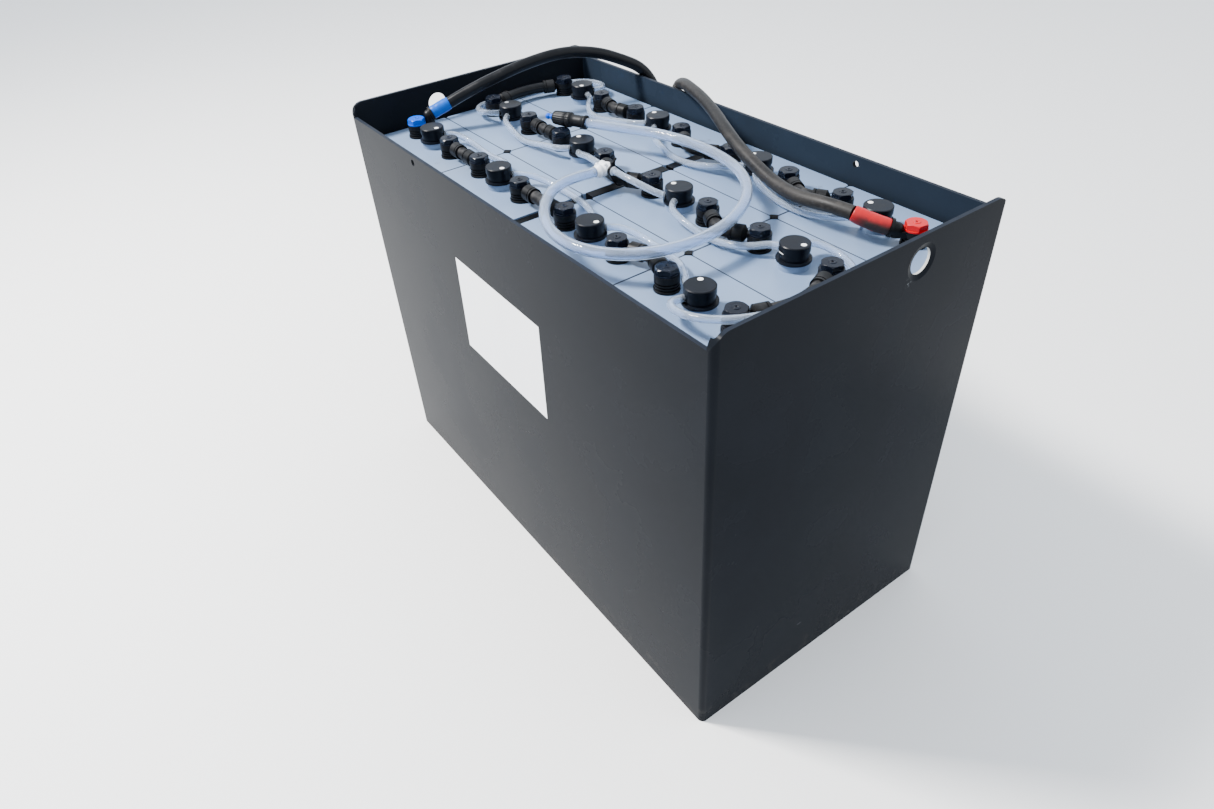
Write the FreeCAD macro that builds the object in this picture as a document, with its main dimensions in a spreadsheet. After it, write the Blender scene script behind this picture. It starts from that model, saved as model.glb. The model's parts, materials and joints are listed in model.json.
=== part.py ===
import FreeCAD, Part
import math
import os

import Sketcher

# A 24 volt lead traction battery: twelve cells in a steel tray, four along X and three along Y.
# Origin at the middle of the tray's underside, +X along the tray, +Y to the back, +Z up, millimetres.
# Rows are f (front), m (middle) and b (back), columns 1 to 4 run along +X, and each cell has
# pole a on its -X side and pole b on its +X side.

SIZES = {
    "wall": 5,  # tray plate
    "bend": 8,  # outer radius of the tray's upright corners
    "weld_play": 1,
    "fold": 10,  # how far an end plate returns along the long sides
    "side_rise": 37,  # from the lids to the top of the long sides
    "end_rise": 19,  # from there to the top of the end plates
    "end_round": 20,  # rounding of the end plates' top corners
    "end_gap": 7,  # from the cells to the end plates
    "side_gap": 7,  # from the cells to the long sides
    "packing_play": 0.5,
    "packing_drop": 26,
    "lift_radius": 15.5,
    "lift_rim": 22,  # sunk rim round the lifting hole
    "lift_sink": 2,
    "lift_offset": 75,
    "lift_drop": 32,
    "small_radius": 4.5,
    "small_offset": 206,
    "small_drop": 10.5,
    "cell_length": 198,
    "cell_width": 137,
    "cell_gap": 1,
    "middle_gap": 17,
    "cell_round": 6,
    "jar_height": 557,
    "jar_wall": 3,
    "jar_floor": 4,
    "rib_height": 20,
    "rib_width": 5,
    "rib_spacing": 50,
    "lid_thick": 9,
    "pole_offset": 44.5,  # from a cell's end to the axis of its pole
    "post_radius": 10,
    "post_play": 0.3,
    "post_bore": 5.3,
    "post_bore_depth": 34,
    "plate_pitch": 16,
    "plate_play": 4,
    "head_room": 83,  # from the plates to the lid
    "positive_thick": 9,
    "negative_thick": 4,
    "separator_thick": 1.2,
    "separator_rise": 8,
    "lug_width": 24,
    "lug_thick": 3.6,
    "lug_height": 22,
    "bridge_width": 28,
    "bridge_height": 14,
    "bridge_length": 118,
    "seal_radius": 15.25,
    "seal_flange": 3,
    "seal_rib": 14.2,
    "seal_neck": 12.3,
    "seal_height": 12,
    "boot_radius": 14.4,
    "boot_height": 7.5,
    "boot_reach": 36,  # from a pole's axis to the end of its boot
    "collar_start": 16,
    "collar_radius": 10.5,
    "collar_groove": 1.5,
    "neck_radius": 4.2,
    "link_radius": 8,
    "bolt_radius": 5,
    "bolt_flange": 13.8,
    "bolt_flange_height": 1.6,
    "hex_across": 23.5,
    "hex_height": 7,
    "hex_chamfer": 1.3,
    "test_hole": 1.25,
    "bolt_length": 30,
    "opening_collar": 18.2,
    "collar_height": 9,
    "opening_radius": 14.7,
    "plug_play": 0.3,
    "plug_neck": 32,  # plug below its flange
    "plug_flange": 20.4,
    "plug_flange_height": 2.7,
    "plug_radius": 16.75,
    "plug_height": 9.3,
    "cap_radius": 17.75,
    "cap_height": 8.8,
    "cap_top": 2.4,
    "cap_skirt": 1.6,
    "cap_edge": 0.9,
    "nipple_radius": 3.6,
    "nipple_reach": 20,
    "nipple_height": 16.4,  # above the lid
    "nipple_spread": 38,
    "end_cap_length": 9,
    "indicator_offset": 11,
    "indicator_radius": 3.2,
    "indicator_height": 3.3,
    "window_play": 0.3,
    "rod_radius": 1.5,
    "rod_play": 0.1,
    "float_radius": 10,
    "float_height": 28,
    "float_drop": 5,
    "hose_diameter": 9,
    "supply_diameter": 14,
    "cable_diameter": 17.5,
    "sleeve_radius": 10.5,
    "lug_palm": 14,
    "lug_barrel": 8.5,
    "lug_ring": 3.5,
    "lug_ring_radius": 11.2,
    "tee_radius": 6.2,
    "tee_branch": 8.2,
    "tee_arm": 15,
    "tee_reach": 20,
    "tee_clamp": 9.4,
    "tee_clamp_length": 4,
    "tie_width": 4,
    "tie_thick": 1.4,
    "tie_play": 0.15,
    "tie_slack": 0.7,
    "tie_head": 5,
    "tie_tail": 9,
    "coupling_flare": 10.2,  # the ring round the hose end
    "coupling_flare_length": 3,
    "coupling_slim": 9.4,
    "coupling_slim_length": 26,
    "coupling_shoulder": 10.8,
    "coupling_grip": 9.4,
    "coupling_grip_length": 30,
    "coupling_chamfer": 1.5,
    "tip_radius": 4.4,
    "tip_neck": 3.2,
    "tip_length": 14,
    "strip_play": 0.2,
    "strip_height": 62,
    "strip_step": 2.2,
    "strip_length": 130,
    "corner_peg": 2.8,
    "corner_head": 9.5,
    "corner_thick": 1.5,
    "corner_depth": 14,
    "label_width": 216,
    "label_height": 152,
    "label_thick": 0.2,
    "label_tilt": 2.3,
    "label_shift": 13.5,  # from the tray's middle to the left
    "label_drop": 202,  # from the top of the long side to the label's middle
    "housing_length": 110,
    "housing_width": 64,
    "housing_height": 40,
    "housing_round": 6,
    "housing_wall": 3.5,
    "mouth_depth": 30,
    "contact_radius": 6.5,
    "contact_length": 26,
    "entry_radius": 11,
    "entry_length": 16,
    "cable_spacing": 24,
}

doc = FreeCAD.newDocument("traction_battery")
sheet = doc.addObject("Spreadsheet::Sheet", "sizes")
for row, (word, number) in enumerate(SIZES.items(), start=1):
    sheet.set(f"A{row}", word)
    sheet.set(f"B{row}", str(number))
    sheet.setAlias(f"B{row}", word)
doc.recompute()


def formula(value):
    return value.formula if isinstance(value, Size) else repr(float(value))


class Size:
    """A length that keeps both its number and the sheet formula that it comes from."""

    def __init__(self, number, formula_text):
        self.number = number
        self.formula = formula_text

    def __float__(self):
        return float(self.number)

    def joined(self, sign, other, number):
        return Size(number, f"({self.formula} {sign} {formula(other)})")

    def __add__(self, other):
        return self.joined("+", other, float(self) + float(other))

    def __sub__(self, other):
        return self.joined("-", other, float(self) - float(other))

    def __mul__(self, other):
        return self.joined("*", other, float(self) * float(other))

    def __truediv__(self, other):
        return self.joined("/", other, float(self) / float(other))

    def __neg__(self):
        return self * -1

    __radd__ = __add__
    __rmul__ = __mul__


class Sizes:
    def __getattr__(self, word):
        return Size(float(sheet.get(word)), f"sizes.{word}")


s = Sizes()


def bind(thing, **sizes):
    """Ties properties of a document object to the sheet."""
    for name, value in sizes.items():
        thing.setExpression(name.replace("__", "."), formula(value))


# Places that several pieces share
lid_top = s.wall + s.jar_height + s.lid_thick
seal_top = lid_top + s.seal_height
boot_top = seal_top + s.boot_height
link_height = seal_top + s.boot_height / 2
opening_top = lid_top + s.collar_height
side_top = lid_top + s.side_rise
end_top = side_top + s.end_rise
plate_foot = s.wall + s.jar_floor + s.rib_height
plate_head = s.wall + s.jar_height - s.head_room
plug_top = opening_top + s.plug_flange_height + s.plug_height
cap_top = plug_top + s.cap_height
nipple_height = lid_top + s.nipple_height
tray_length = s.cell_length * 4 + s.cell_gap * 2 + s.middle_gap + s.end_gap * 2 + s.wall * 2
tray_width = s.cell_width * 3 + s.cell_gap * 2 + s.side_gap * 2 + s.wall * 2
inner_column = (s.middle_gap + s.cell_length) / 2
outer_column = inner_column + s.cell_length + s.cell_gap
pole_reach = s.cell_length / 2 - s.pole_offset
COLUMNS = {1: -outer_column, 2: -inner_column, 3: inner_column, 4: outer_column}
row_pitch = s.cell_width + s.cell_gap
ROWS = {"f": -row_pitch, "m": row_pitch * 0, "b": row_pitch}
ROW_NAMES = {"f": "front", "m": "middle", "b": "back"}
CELLS = [f"{row}{column}" for row in ROWS for column in COLUMNS]

nodes = {}


def keep(label, thing):
    thing.Label = label
    nodes[label] = thing
    return thing


def cell_place(cell):
    return FreeCAD.Vector(float(COLUMNS[int(cell[1])]), float(ROWS[cell[0]]), 0)


def pole_place(pole):
    side = -1 if pole[2] == "a" else 1
    return cell_place(pole[:2]) + FreeCAD.Vector(side * float(pole_reach), 0, 0)


def turned_copy(shape, place, degrees=0.0):
    copy = shape.copy()
    copy.Placement = FreeCAD.Placement(place, FreeCAD.Rotation(FreeCAD.Vector(0, 0, 1), degrees)) * copy.Placement
    return copy


def group(label, shapes):
    """Like pieces that share a node: a compound of separate solids."""
    thing = doc.addObject("Part::Feature", label)
    thing.Shape = Part.makeCompound(shapes) if len(shapes) > 1 else shapes[0]
    return keep(label, thing)


# Sketches
def sketch(body, role, outline, name, height=None):
    """A closed outline of (across, up) corners on one of the body's own planes.

    A corner may carry a third value, the radius of the arc that leads to the next corner,
    positive where the arc turns left.
    """
    plane = next(feature for feature in body.Origin.OriginFeatures if feature.Role == role)
    drawing = body.newObject("Sketcher::SketchObject", name)
    drawing.AttachmentSupport = [(plane, "")]
    drawing.MapMode = "FlatFace"
    if height is not None:
        bind(drawing, AttachmentOffset__Base__z=height)
    count = len(outline)
    for index, corner in enumerate(outline):
        here = FreeCAD.Vector(float(corner[0]), float(corner[1]), 0)
        following = outline[(index + 1) % count]
        there = FreeCAD.Vector(float(following[0]), float(following[1]), 0)
        if len(corner) < 3:
            drawing.addGeometry(Part.LineSegment(here, there), False)
            continue
        radius = float(corner[2])
        across = there - here
        middle = (here + there) * 0.5
        normal = FreeCAD.Vector(-across.y, across.x, 0).normalize()
        rise = math.sqrt(max(radius**2 - (across.Length / 2) ** 2, 0.0))
        centre = middle + normal * (rise if radius > 0 else -rise)
        inward = (middle - centre).normalize() if rise > 1e-9 else -normal * math.copysign(1, radius)
        arc = Part.Arc(here, centre + inward * abs(radius), there)
        drawing.addGeometry(arc, False)
    for index, corner in enumerate(outline):
        start_point = corner_point(drawing, index, corner)
        tie(drawing, "DistanceX", start_point, corner[0])
        tie(drawing, "DistanceY", start_point, corner[1])
        before = (index - 1) % count
        end_point = corner_point(drawing, before, outline[before], end=True)
        drawing.addConstraint(Sketcher.Constraint("Coincident", before, end_point, index, start_point[1]))
        if len(corner) > 2:
            number = drawing.addConstraint(Sketcher.Constraint("Radius", index, abs(float(corner[2]))))
            radius = corner[2] if float(corner[2]) > 0 else -corner[2]
            drawing.setExpression(f"Constraints[{number}]", formula(radius))
    return drawing


def corner_point(drawing, index, corner, end=False):
    """The number of an edge's start or end, which an arc drawn clockwise swaps."""
    clockwise = len(corner) > 2 and float(corner[2]) < 0
    number = (2 if not clockwise else 1) if end else (1 if not clockwise else 2)
    return number if end else (index, number)


def tie(drawing, kind, point, value):
    number = drawing.addConstraint(Sketcher.Constraint(kind, -1, 1, point[0], point[1], float(value)))
    drawing.setExpression(f"Constraints[{number}]", formula(value))


def new_body(name):
    return doc.addObject("PartDesign::Body", name)


def pad(body, role, outline, length, name, height=None, midplane=False):
    feature = body.newObject("PartDesign::Pad", name)
    feature.Profile = sketch(body, role, outline, name + "_outline", height)
    feature.Midplane = midplane
    bind(feature, Length=length)
    return feature


def revolve(body, role, outline, name, axis="V_Axis", height=None):
    feature = body.newObject("PartDesign::Revolution", name)
    drawing = sketch(body, role, outline, name + "_outline", height)
    feature.Profile = drawing
    feature.ReferenceAxis = (drawing, [axis])
    feature.Angle = 360
    return feature


def pocket(body, role, outline, name, both=True):
    feature = body.newObject("PartDesign::Pocket", name)
    feature.Profile = sketch(body, role, outline, name + "_outline")
    feature.Type = "ThroughAll"
    feature.Midplane = both
    return feature


def block(name, low, high):
    """A box between two corners, each a triple of sizes."""
    box = doc.addObject("Part::Box", name)
    bind(box, Length=high[0] - low[0], Width=high[1] - low[1], Height=high[2] - low[2])
    bind(box, Placement__Base__x=low[0], Placement__Base__y=low[1], Placement__Base__z=low[2])
    return box


def rod(name, radius, length, place, turn=None):
    """A cylinder from a place, along +Z or along the turned axis."""
    cylinder = doc.addObject("Part::Cylinder", name)
    if turn is not None:
        cylinder.Placement = FreeCAD.Placement(FreeCAD.Vector(), turn)
    bind(cylinder, Radius=radius, Height=length)
    bind(cylinder, Placement__Base__x=place[0], Placement__Base__y=place[1], Placement__Base__z=place[2])
    return cylinder


def cut(name, base, tool):
    feature = doc.addObject("Part::Cut", name)
    feature.Base = base
    feature.Tool = tool
    return feature


def fuse(name, *things):
    feature = doc.addObject("Part::MultiFuse", name)
    feature.Shapes = list(things)
    return feature


ALONG_X = FreeCAD.Rotation(FreeCAD.Vector(0, 1, 0), 90)
ALONG_Y = FreeCAD.Rotation(FreeCAD.Vector(1, 0, 0), -90)
UP = FreeCAD.Vector(0, 0, 1)
half_length = tray_length / 2
half_width = tray_width / 2
ZERO = s.wall * 0


def rounded_block(body, length, width, round_radius, low, height, name):
    """A pad with rounded upright edges, centred on the body's Z axis."""
    x = length / 2
    y = width / 2
    outline = [
        (round_radius - x, -y),
        (x - round_radius, -y, round_radius),
        (x, round_radius - y),
        (x, y - round_radius, round_radius),
        (x - round_radius, y),
        (round_radius - x, y, round_radius),
        (-x, y - round_radius),
        (-x, round_radius - y, round_radius),
    ]
    return pad(body, "XY_Plane", outline, height, name, low)


# Tray: floor, two flat long sides and two folded end plates, welded
def tray_end(label, side):
    """An end plate folded round the tray's corners, with rounded top corners and a lifting hole."""
    body = new_body(label)
    outer = half_length
    inner = half_length - s.wall
    back = half_length - s.fold
    reach = half_width
    bend_in = s.bend - s.wall
    plan = [
        (back, -reach),
        (outer - s.bend, -reach, s.bend),
        (outer, s.bend - reach),
        (outer, reach - s.bend, s.bend),
        (outer - s.bend, reach),
        (back, reach),
        (back, reach - s.wall),
        (inner - bend_in, reach - s.wall, -bend_in),
        (inner, reach - s.wall - bend_in),
        (inner, bend_in + s.wall - reach, -bend_in),
        (inner - bend_in, s.wall - reach),
        (back, s.wall - reach),
    ]
    pad(body, "XY_Plane", plan, end_top, "plate_" + label)
    top = end_top
    low = top - s.end_round
    for name, hand in (("front", -1), ("back", 1)):
        beyond = (reach + s.wall) * hand
        edge = reach * hand
        start = (reach - s.end_round) * hand
        turn = s.end_round * -hand
        corner = [(edge, low, -turn), (start, top), (start, top + s.wall), (beyond, top + s.wall), (beyond, low)]
        pocket(body, "YZ_Plane", corner, f"{name}_corner_{label}")
    hole = rod("lift_" + label, s.lift_radius, s.wall * 4, (inner - s.wall, s.lift_offset, end_top - s.lift_drop), ALONG_X)
    rim = doc.addObject("Part::Cone", "rim_" + label)
    rim.Placement = FreeCAD.Placement(FreeCAD.Vector(), ALONG_X)
    bind(rim, Radius1=s.lift_radius, Radius2=s.lift_rim, Height=s.lift_sink)
    bind(rim, Placement__Base__x=outer - s.lift_sink, Placement__Base__y=s.lift_offset)
    bind(rim, Placement__Base__z=end_top - s.lift_drop)
    holed = cut("holed_" + label, body, fuse("opening_" + label, hole, rim))
    if side < 0:
        holed.Placement = FreeCAD.Placement(FreeCAD.Vector(), FreeCAD.Rotation(UP, 180))
    return keep(label, holed)


def tray_side(label, hand):
    """A long side plate between the end plates' folds, with its small hole."""
    reach = half_length - s.fold
    low_y = half_width - s.wall if hand > 0 else -half_width
    plate = block("plate_" + label, (-reach, low_y, ZERO), (reach, low_y + s.wall, side_top))
    place = (s.small_offset * hand, low_y - s.wall, side_top - s.small_drop)
    hole = rod("hole_" + label, s.small_radius, s.wall * 3, place, ALONG_Y)
    return keep(label, cut("holed_" + label, plate, hole))


def tray():
    floor = new_body("floor_plate")
    round_corner = s.bend - s.wall + s.weld_play
    rounded_block(floor, tray_length - s.wall * 2, tray_width - s.wall * 2, round_corner, ZERO, s.wall, "floor_block")
    keep("tray_floor", floor)
    tray_side("tray_front_wall", -1)
    tray_side("tray_back_wall", 1)
    tray_end("tray_left_end", -1)
    tray_end("tray_right_end", 1)


def side_packing():
    """Plastic sheets that fill the space between the cells and the tray."""
    inner_x = half_length - s.wall - s.packing_play
    inner_y = half_width - s.wall - s.packing_play
    thick_x = s.end_gap - s.packing_play * 2
    thick_y = s.side_gap - s.packing_play * 2
    reach_y = inner_y - s.bend + s.wall
    top = s.wall + s.jar_height - s.packing_drop
    sheets = []
    for hand in (-1, 1):
        low_x = inner_x - thick_x if hand > 0 else -inner_x
        low_y = inner_y - thick_y if hand > 0 else -inner_y
        sheets.append(block("packing_end", (low_x, -reach_y, s.wall), (low_x + thick_x, reach_y, top)))
        reach = inner_x - thick_x - s.packing_play
        sheets.append(block("packing_side", (-reach, low_y, s.wall), (reach, low_y + thick_y, top)))
    doc.recompute()
    group("side_packing", [sheet_piece.Shape for sheet_piece in sheets])


def cell_jar():
    """One open jar with the ribs that its plates stand on."""
    outer = new_body("jar_outside")
    rounded_block(outer, s.cell_length, s.cell_width, s.cell_round, s.wall, s.jar_height, "jar_block")
    hollow = new_body("jar_hollow")
    inner_length = s.cell_length - s.jar_wall * 2
    inner_width = s.cell_width - s.jar_wall * 2
    round_in = s.cell_round - s.jar_wall
    low = s.wall + s.jar_floor
    rounded_block(hollow, inner_length, inner_width, round_in, low, s.jar_height, "jar_space")
    shell = cut("jar_shell", outer, hollow)
    ribs = []
    for step in (-1.5, -0.5, 0.5, 1.5):
        left = s.rib_spacing * step - s.rib_width / 2
        low_corner = (left, -inner_width / 2, low)
        high_corner = (left + s.rib_width, inner_width / 2, low + s.rib_height)
        ribs.append(block("jar_rib", low_corner, high_corner))
    return fuse("jar", shell, *ribs)


def cell_lid():
    """One lid, welded on its jar, with the raised collar of its filler opening and two pole holes."""
    body = new_body("lid_outside")
    rounded_block(body, s.cell_length, s.cell_width, s.cell_round, lid_top - s.lid_thick, s.lid_thick, "lid_plate")
    collar = rod("lid_collar", s.opening_collar, s.collar_height + s.wall, (ZERO, ZERO, lid_top - s.wall))
    whole = fuse("lid_whole", body, collar)
    deep = s.lid_thick * 2 + s.collar_height
    low = lid_top - s.lid_thick * 2
    opening = rod("lid_opening", s.opening_radius, deep + s.wall, (ZERO, ZERO, low))
    holes = [opening]
    for side in (-1, 1):
        place = (pole_reach * side, ZERO, low)
        holes.append(rod("lid_pole_hole", s.post_radius + s.post_play, deep, place))
    return cut("lid", whole, fuse("lid_holes", *holes))


def plate_group(name, count, thick, side):
    """Plates burnt to one bridge, with the post that carries the pole's bolt."""
    width = s.cell_length - s.jar_wall * 2 - s.plate_play * 2
    bridge = plate_head + s.lug_height
    pole = pole_reach * side
    pieces = []
    for index in range(count):
        middle = s.plate_pitch * (index - (count - 1) / 2)
        low = (-width / 2, middle - thick / 2, plate_foot)
        high = (width / 2, middle + thick / 2, plate_head)
        pieces.append(block(name + "_plate", low, high))
        low = (pole - s.lug_width / 2, middle - s.lug_thick / 2, plate_head)
        high = (pole + s.lug_width / 2, middle + s.lug_thick / 2, bridge)
        pieces.append(block(name + "_lug", low, high))
    low = (pole - s.bridge_width / 2, -s.bridge_length / 2, bridge)
    high = (pole + s.bridge_width / 2, s.bridge_length / 2, bridge + s.bridge_height)
    pieces.append(block(name + "_bridge", low, high))
    pieces.append(rod(name + "_post", s.post_radius, seal_top - bridge, (pole, ZERO, bridge)))
    whole = fuse(name + "_whole", *pieces)
    place = (pole, ZERO, seal_top - s.post_bore_depth)
    bore = rod(name + "_bore", s.post_bore, s.post_bore_depth + s.wall, place)
    return cut(name, whole, bore)


def separators():
    """The sheets between one cell's plates."""
    width = s.cell_length - s.jar_wall * 2 - s.plate_play
    from_positive = (s.plate_pitch + s.positive_thick - s.negative_thick) / 4
    sheets = []
    for index in range(14):
        middle = s.plate_pitch * (index // 2 - 3) + from_positive * (1 if index % 2 else -1)
        low = (-width / 2, middle - s.separator_thick / 2, plate_foot)
        high = (width / 2, middle + s.separator_thick / 2, plate_head + s.separator_rise)
        sheets.append(block("separator", low, high))
    return sheets


def cells():
    jar = cell_jar()
    lid = cell_lid()
    positive = plate_group("positive", 7, s.positive_thick, 1)
    negative = plate_group("negative", 8, s.negative_thick, -1)
    sheets = separators()
    doc.recompute()
    for row in ROWS:
        places = [cell_place(f"{row}{column}") for column in COLUMNS]
        group(f"cell_jars_{ROW_NAMES[row]}", [turned_copy(jar.Shape, place) for place in places])
        group(f"cell_lids_{ROW_NAMES[row]}", [turned_copy(lid.Shape, place) for place in places])
    places = [cell_place(cell) for cell in CELLS]
    turns = [0 if cell[0] != "m" else 180 for cell in CELLS]
    group("positive_plate_groups", [turned_copy(positive.Shape, p, a) for p, a in zip(places, turns)])
    group("negative_plate_groups", [turned_copy(negative.Shape, p, a) for p, a in zip(places, turns)])
    group("separators", [turned_copy(piece.Shape, place) for place in places for piece in sheets])


# Poles and the insulated connectors between them
def pole_seal():
    body = new_body("seal")
    hole = s.post_radius + s.post_play
    rib = (s.seal_height - s.seal_flange) / 5
    base = lid_top + s.seal_flange
    outline = [(hole, lid_top), (s.seal_radius, lid_top), (s.seal_radius, base)]
    for step in range(2):
        low = base + rib * (step * 2 + 1)
        outline += [(s.seal_neck, low - rib), (s.seal_neck, low), (s.seal_rib, low), (s.seal_rib, low + rib)]
    outline += [(s.seal_neck, base + rib * 4), (s.seal_neck, seal_top), (hole, seal_top)]
    revolve(body, "XZ_Plane", outline, "seal_ring")
    return body


def connector_boot():
    """The moulded boot over a cable lug: a ring round the pole and a collar along +X."""
    body = new_body("boot")
    hole = s.bolt_radius + s.post_play
    ring = [(hole, seal_top), (s.boot_radius, seal_top), (s.boot_radius, boot_top), (hole, boot_top)]
    revolve(body, "XZ_Plane", ring, "boot_ring")
    inside = s.boot_radius - s.neck_radius
    start = s.collar_start - s.collar_groove
    groove = s.boot_reach - s.collar_groove * 3
    collar = [
        (inside, ZERO),
        (s.boot_reach, ZERO),
        (s.boot_reach, s.collar_radius),
        (groove + s.collar_groove, s.collar_radius),
        (groove + s.collar_groove, s.collar_radius - s.collar_groove),
        (groove, s.collar_radius - s.collar_groove),
        (groove, s.collar_radius),
        (s.collar_start + s.collar_groove * 2, s.collar_radius),
        (start, s.neck_radius),
        (inside, s.neck_radius),
    ]
    revolve(body, "XY_Plane", collar, "boot_collar", "H_Axis", link_height)
    return body


def pole_bolt():
    """An insulated M10 bolt: flange, hexagon and shank, with the hole for a test probe."""
    body = new_body("bolt")
    low = boot_top - s.bolt_length
    top = boot_top + s.bolt_flange_height
    seat = [(ZERO, low), (s.bolt_radius, low), (s.bolt_radius, boot_top), (s.bolt_flange, boot_top)]
    revolve(body, "XZ_Plane", seat + [(s.bolt_flange, top), (ZERO, top)], "bolt_seat")
    corner = s.hex_across / math.sqrt(3)
    hexagon = [(corner * math.cos(math.radians(60 * k)), corner * math.sin(math.radians(60 * k))) for k in range(6)]
    pad(body, "XY_Plane", hexagon, s.hex_height, "bolt_hexagon", top)
    head = top + s.hex_height
    rim = s.hex_across / 2
    groove = body.newObject("PartDesign::Groove", "bolt_chamfer")
    outside = corner + s.bolt_flange_height
    slope = [
        (rim, head),
        (outside, head - s.hex_chamfer * 2),
        (outside, head + s.hex_chamfer),
        (rim, head + s.hex_chamfer),
    ]
    drawing = sketch(body, "XZ_Plane", slope, "bolt_chamfer_outline")
    groove.Profile = drawing
    groove.ReferenceAxis = (drawing, ["V_Axis"])
    groove.Angle = 360
    probe = rod("probe_hole", s.test_hole, s.hex_height, (ZERO, ZERO, head - s.hex_height / 2))
    return cut("pole_bolt", body, probe)


# The connector cables: the two poles of each and the angle by which it bows to the left of the line
# from the first pole to the second.
LINKS = {
    ("f1b", "f2a"): 0.0,
    ("f2b", "f3a"): 0.0,
    ("f3b", "f4a"): 20.0,
    ("m1b", "m2a"): 0.0,
    ("m2b", "m3a"): -30.0,
    ("m3b", "m4a"): -28.0,
    ("b1b", "b2a"): -10.0,
    ("b2b", "b3a"): -30.0,
    ("b3b", "b4a"): -28.0,
    ("f4b", "m4b"): -21.0,
    ("m1a", "b1a"): 21.0,
}
LEFT_LINK = ("m1a", "b1a")
TIED_LINK = ("m2b", "m3a")


def heading(link):
    """0 for a cable along its row, 90 for one to the row behind."""
    return 0.0 if link[0][0] == link[1][0] else 90.0


BOOTS = {}
for link, bow in LINKS.items():
    BOOTS[link[0]] = heading(link) + bow
    BOOTS[link[1]] = heading(link) + 180.0 - bow


def poles():
    seal = pole_seal()
    boot = connector_boot()
    bolt = pole_bolt()
    doc.recompute()
    every = [cell + side for cell in CELLS for side in "ab"]
    group("pole_seals", [turned_copy(seal.Shape, pole_place(pole)) for pole in every])
    group("connector_boots", [turned_copy(boot.Shape, pole_place(pole), turn) for pole, turn in BOOTS.items()])
    group("pole_bolts", [turned_copy(bolt.Shape, pole_place(pole), 7 * n) for n, pole in enumerate(BOOTS)])
    group("minus_bolt", [turned_copy(bolt.Shape, pole_place("f1a"), 12)])
    group("plus_bolt", [turned_copy(bolt.Shape, pole_place("b4b"), 20)])


def direction(degrees):
    return FreeCAD.Vector(math.cos(math.radians(degrees)), math.sin(math.radians(degrees)), 0)


def link_points(link):
    """Where a connector cable leaves its first boot, passes halfway and enters its second boot."""
    ends = [pole_place(pole) + direction(BOOTS[pole]) * float(s.boot_reach) + UP * float(link_height) for pole in link]
    half = (ends[1] - ends[0]) * 0.5
    rise = half.Length * math.tan(math.radians(LINKS[link]) / 2)
    return ends[0], ends[0] + half + direction(heading(link) + 90) * rise, ends[1]


def link_cable(link):
    """A short insulated cable, straight or bent to one arc."""
    start, middle, end = link_points(link)
    if not LINKS[link]:
        return Part.makeCylinder(float(s.link_radius), (end - start).Length, start, end - start)
    arc = Part.Arc(start, middle, end)
    section = Part.Wire(Part.makeCircle(float(s.link_radius), start, direction(BOOTS[link[0]])))
    return Part.Wire(arc.toShape()).makePipeShell([section], True, False)


def connector_cables():
    group("connector_cables", [link_cable(link) for link in LINKS if link != LEFT_LINK])
    group("left_link_cable", [link_cable(LEFT_LINK)])


def turned(profile, place, along):
    """A turned form: (distance, radius) corners, revolved about the line that leaves a place."""
    corners = [FreeCAD.Vector(float(radius), 0, float(distance)) for distance, radius in profile]
    foot = FreeCAD.Vector(0, 0, corners[0].z)
    head = FreeCAD.Vector(0, 0, corners[-1].z)
    solid = Part.Face(Part.makePolygon([foot, *corners, head, foot])).revolve(FreeCAD.Vector(), UP, 360)
    solid.Placement = FreeCAD.Placement(place, FreeCAD.Rotation(UP, along))
    return solid


# The points of the cords were chosen on cells that stand and end here. They move with what they hang on.
CHOSEN_COLUMNS = {1: -306.5, 2: -107.5, 3: 107.5, 4: 306.5}
CHOSEN_ROWS = {"f": -138.0, "m": 0.0, "b": 138.0}
CHOSEN_POLE = 54.5
CHOSEN_LID = 571.0
CHOSEN_SEAL = 583.0
CHOSEN_RIM = (218.5, 608.0)


def cell_move(cell):
    """How far a cell's lid is from where it stood when the cords were laid."""
    stood = FreeCAD.Vector(CHOSEN_COLUMNS[int(cell[1])], CHOSEN_ROWS[cell[0]], CHOSEN_LID)
    return cell_place(cell) + UP * float(lid_top) - stood


def pole_move(pole):
    side = -1 if pole[2] == "a" else 1
    stood = FreeCAD.Vector(CHOSEN_COLUMNS[int(pole[1])] + side * CHOSEN_POLE, CHOSEN_ROWS[pole[0]], CHOSEN_SEAL)
    return pole_place(pole) + UP * float(seal_top) - stood


def carried(points, first, last):
    """Chosen points, the first moved with one end of the cord, the last with its other end."""
    steps = max(len(points) - 1, 1)
    return [FreeCAD.Vector(*point) + first + (last - first) * (n / steps) for n, point in enumerate(points)]


LID_MOVE = UP * (float(lid_top) - CHOSEN_LID)
GROUND_MOVE = FreeCAD.Vector(0, float(half_width) - CHOSEN_RIM[0], 0)
RIM_MOVE = GROUND_MOVE + UP * (float(side_top) - CHOSEN_RIM[1])


# Cords: straight runs joined by tangent arcs, as large as the two runs allow
def arc_corner(before, corner, after):
    """Where the arc at a corner starts, passes and ends, and its radius."""
    back = before - corner
    ahead = after - corner
    short = min(back.Length, ahead.Length) * 0.45
    turn = math.pi - back.getAngle(ahead)
    radius = short / math.tan(turn / 2)
    back.normalize()
    ahead.normalize()
    towards = (back + ahead).normalize()
    middle = corner + towards * (radius / math.cos(turn / 2) - radius)
    return corner + back * short, middle, corner + ahead * short, radius


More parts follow.
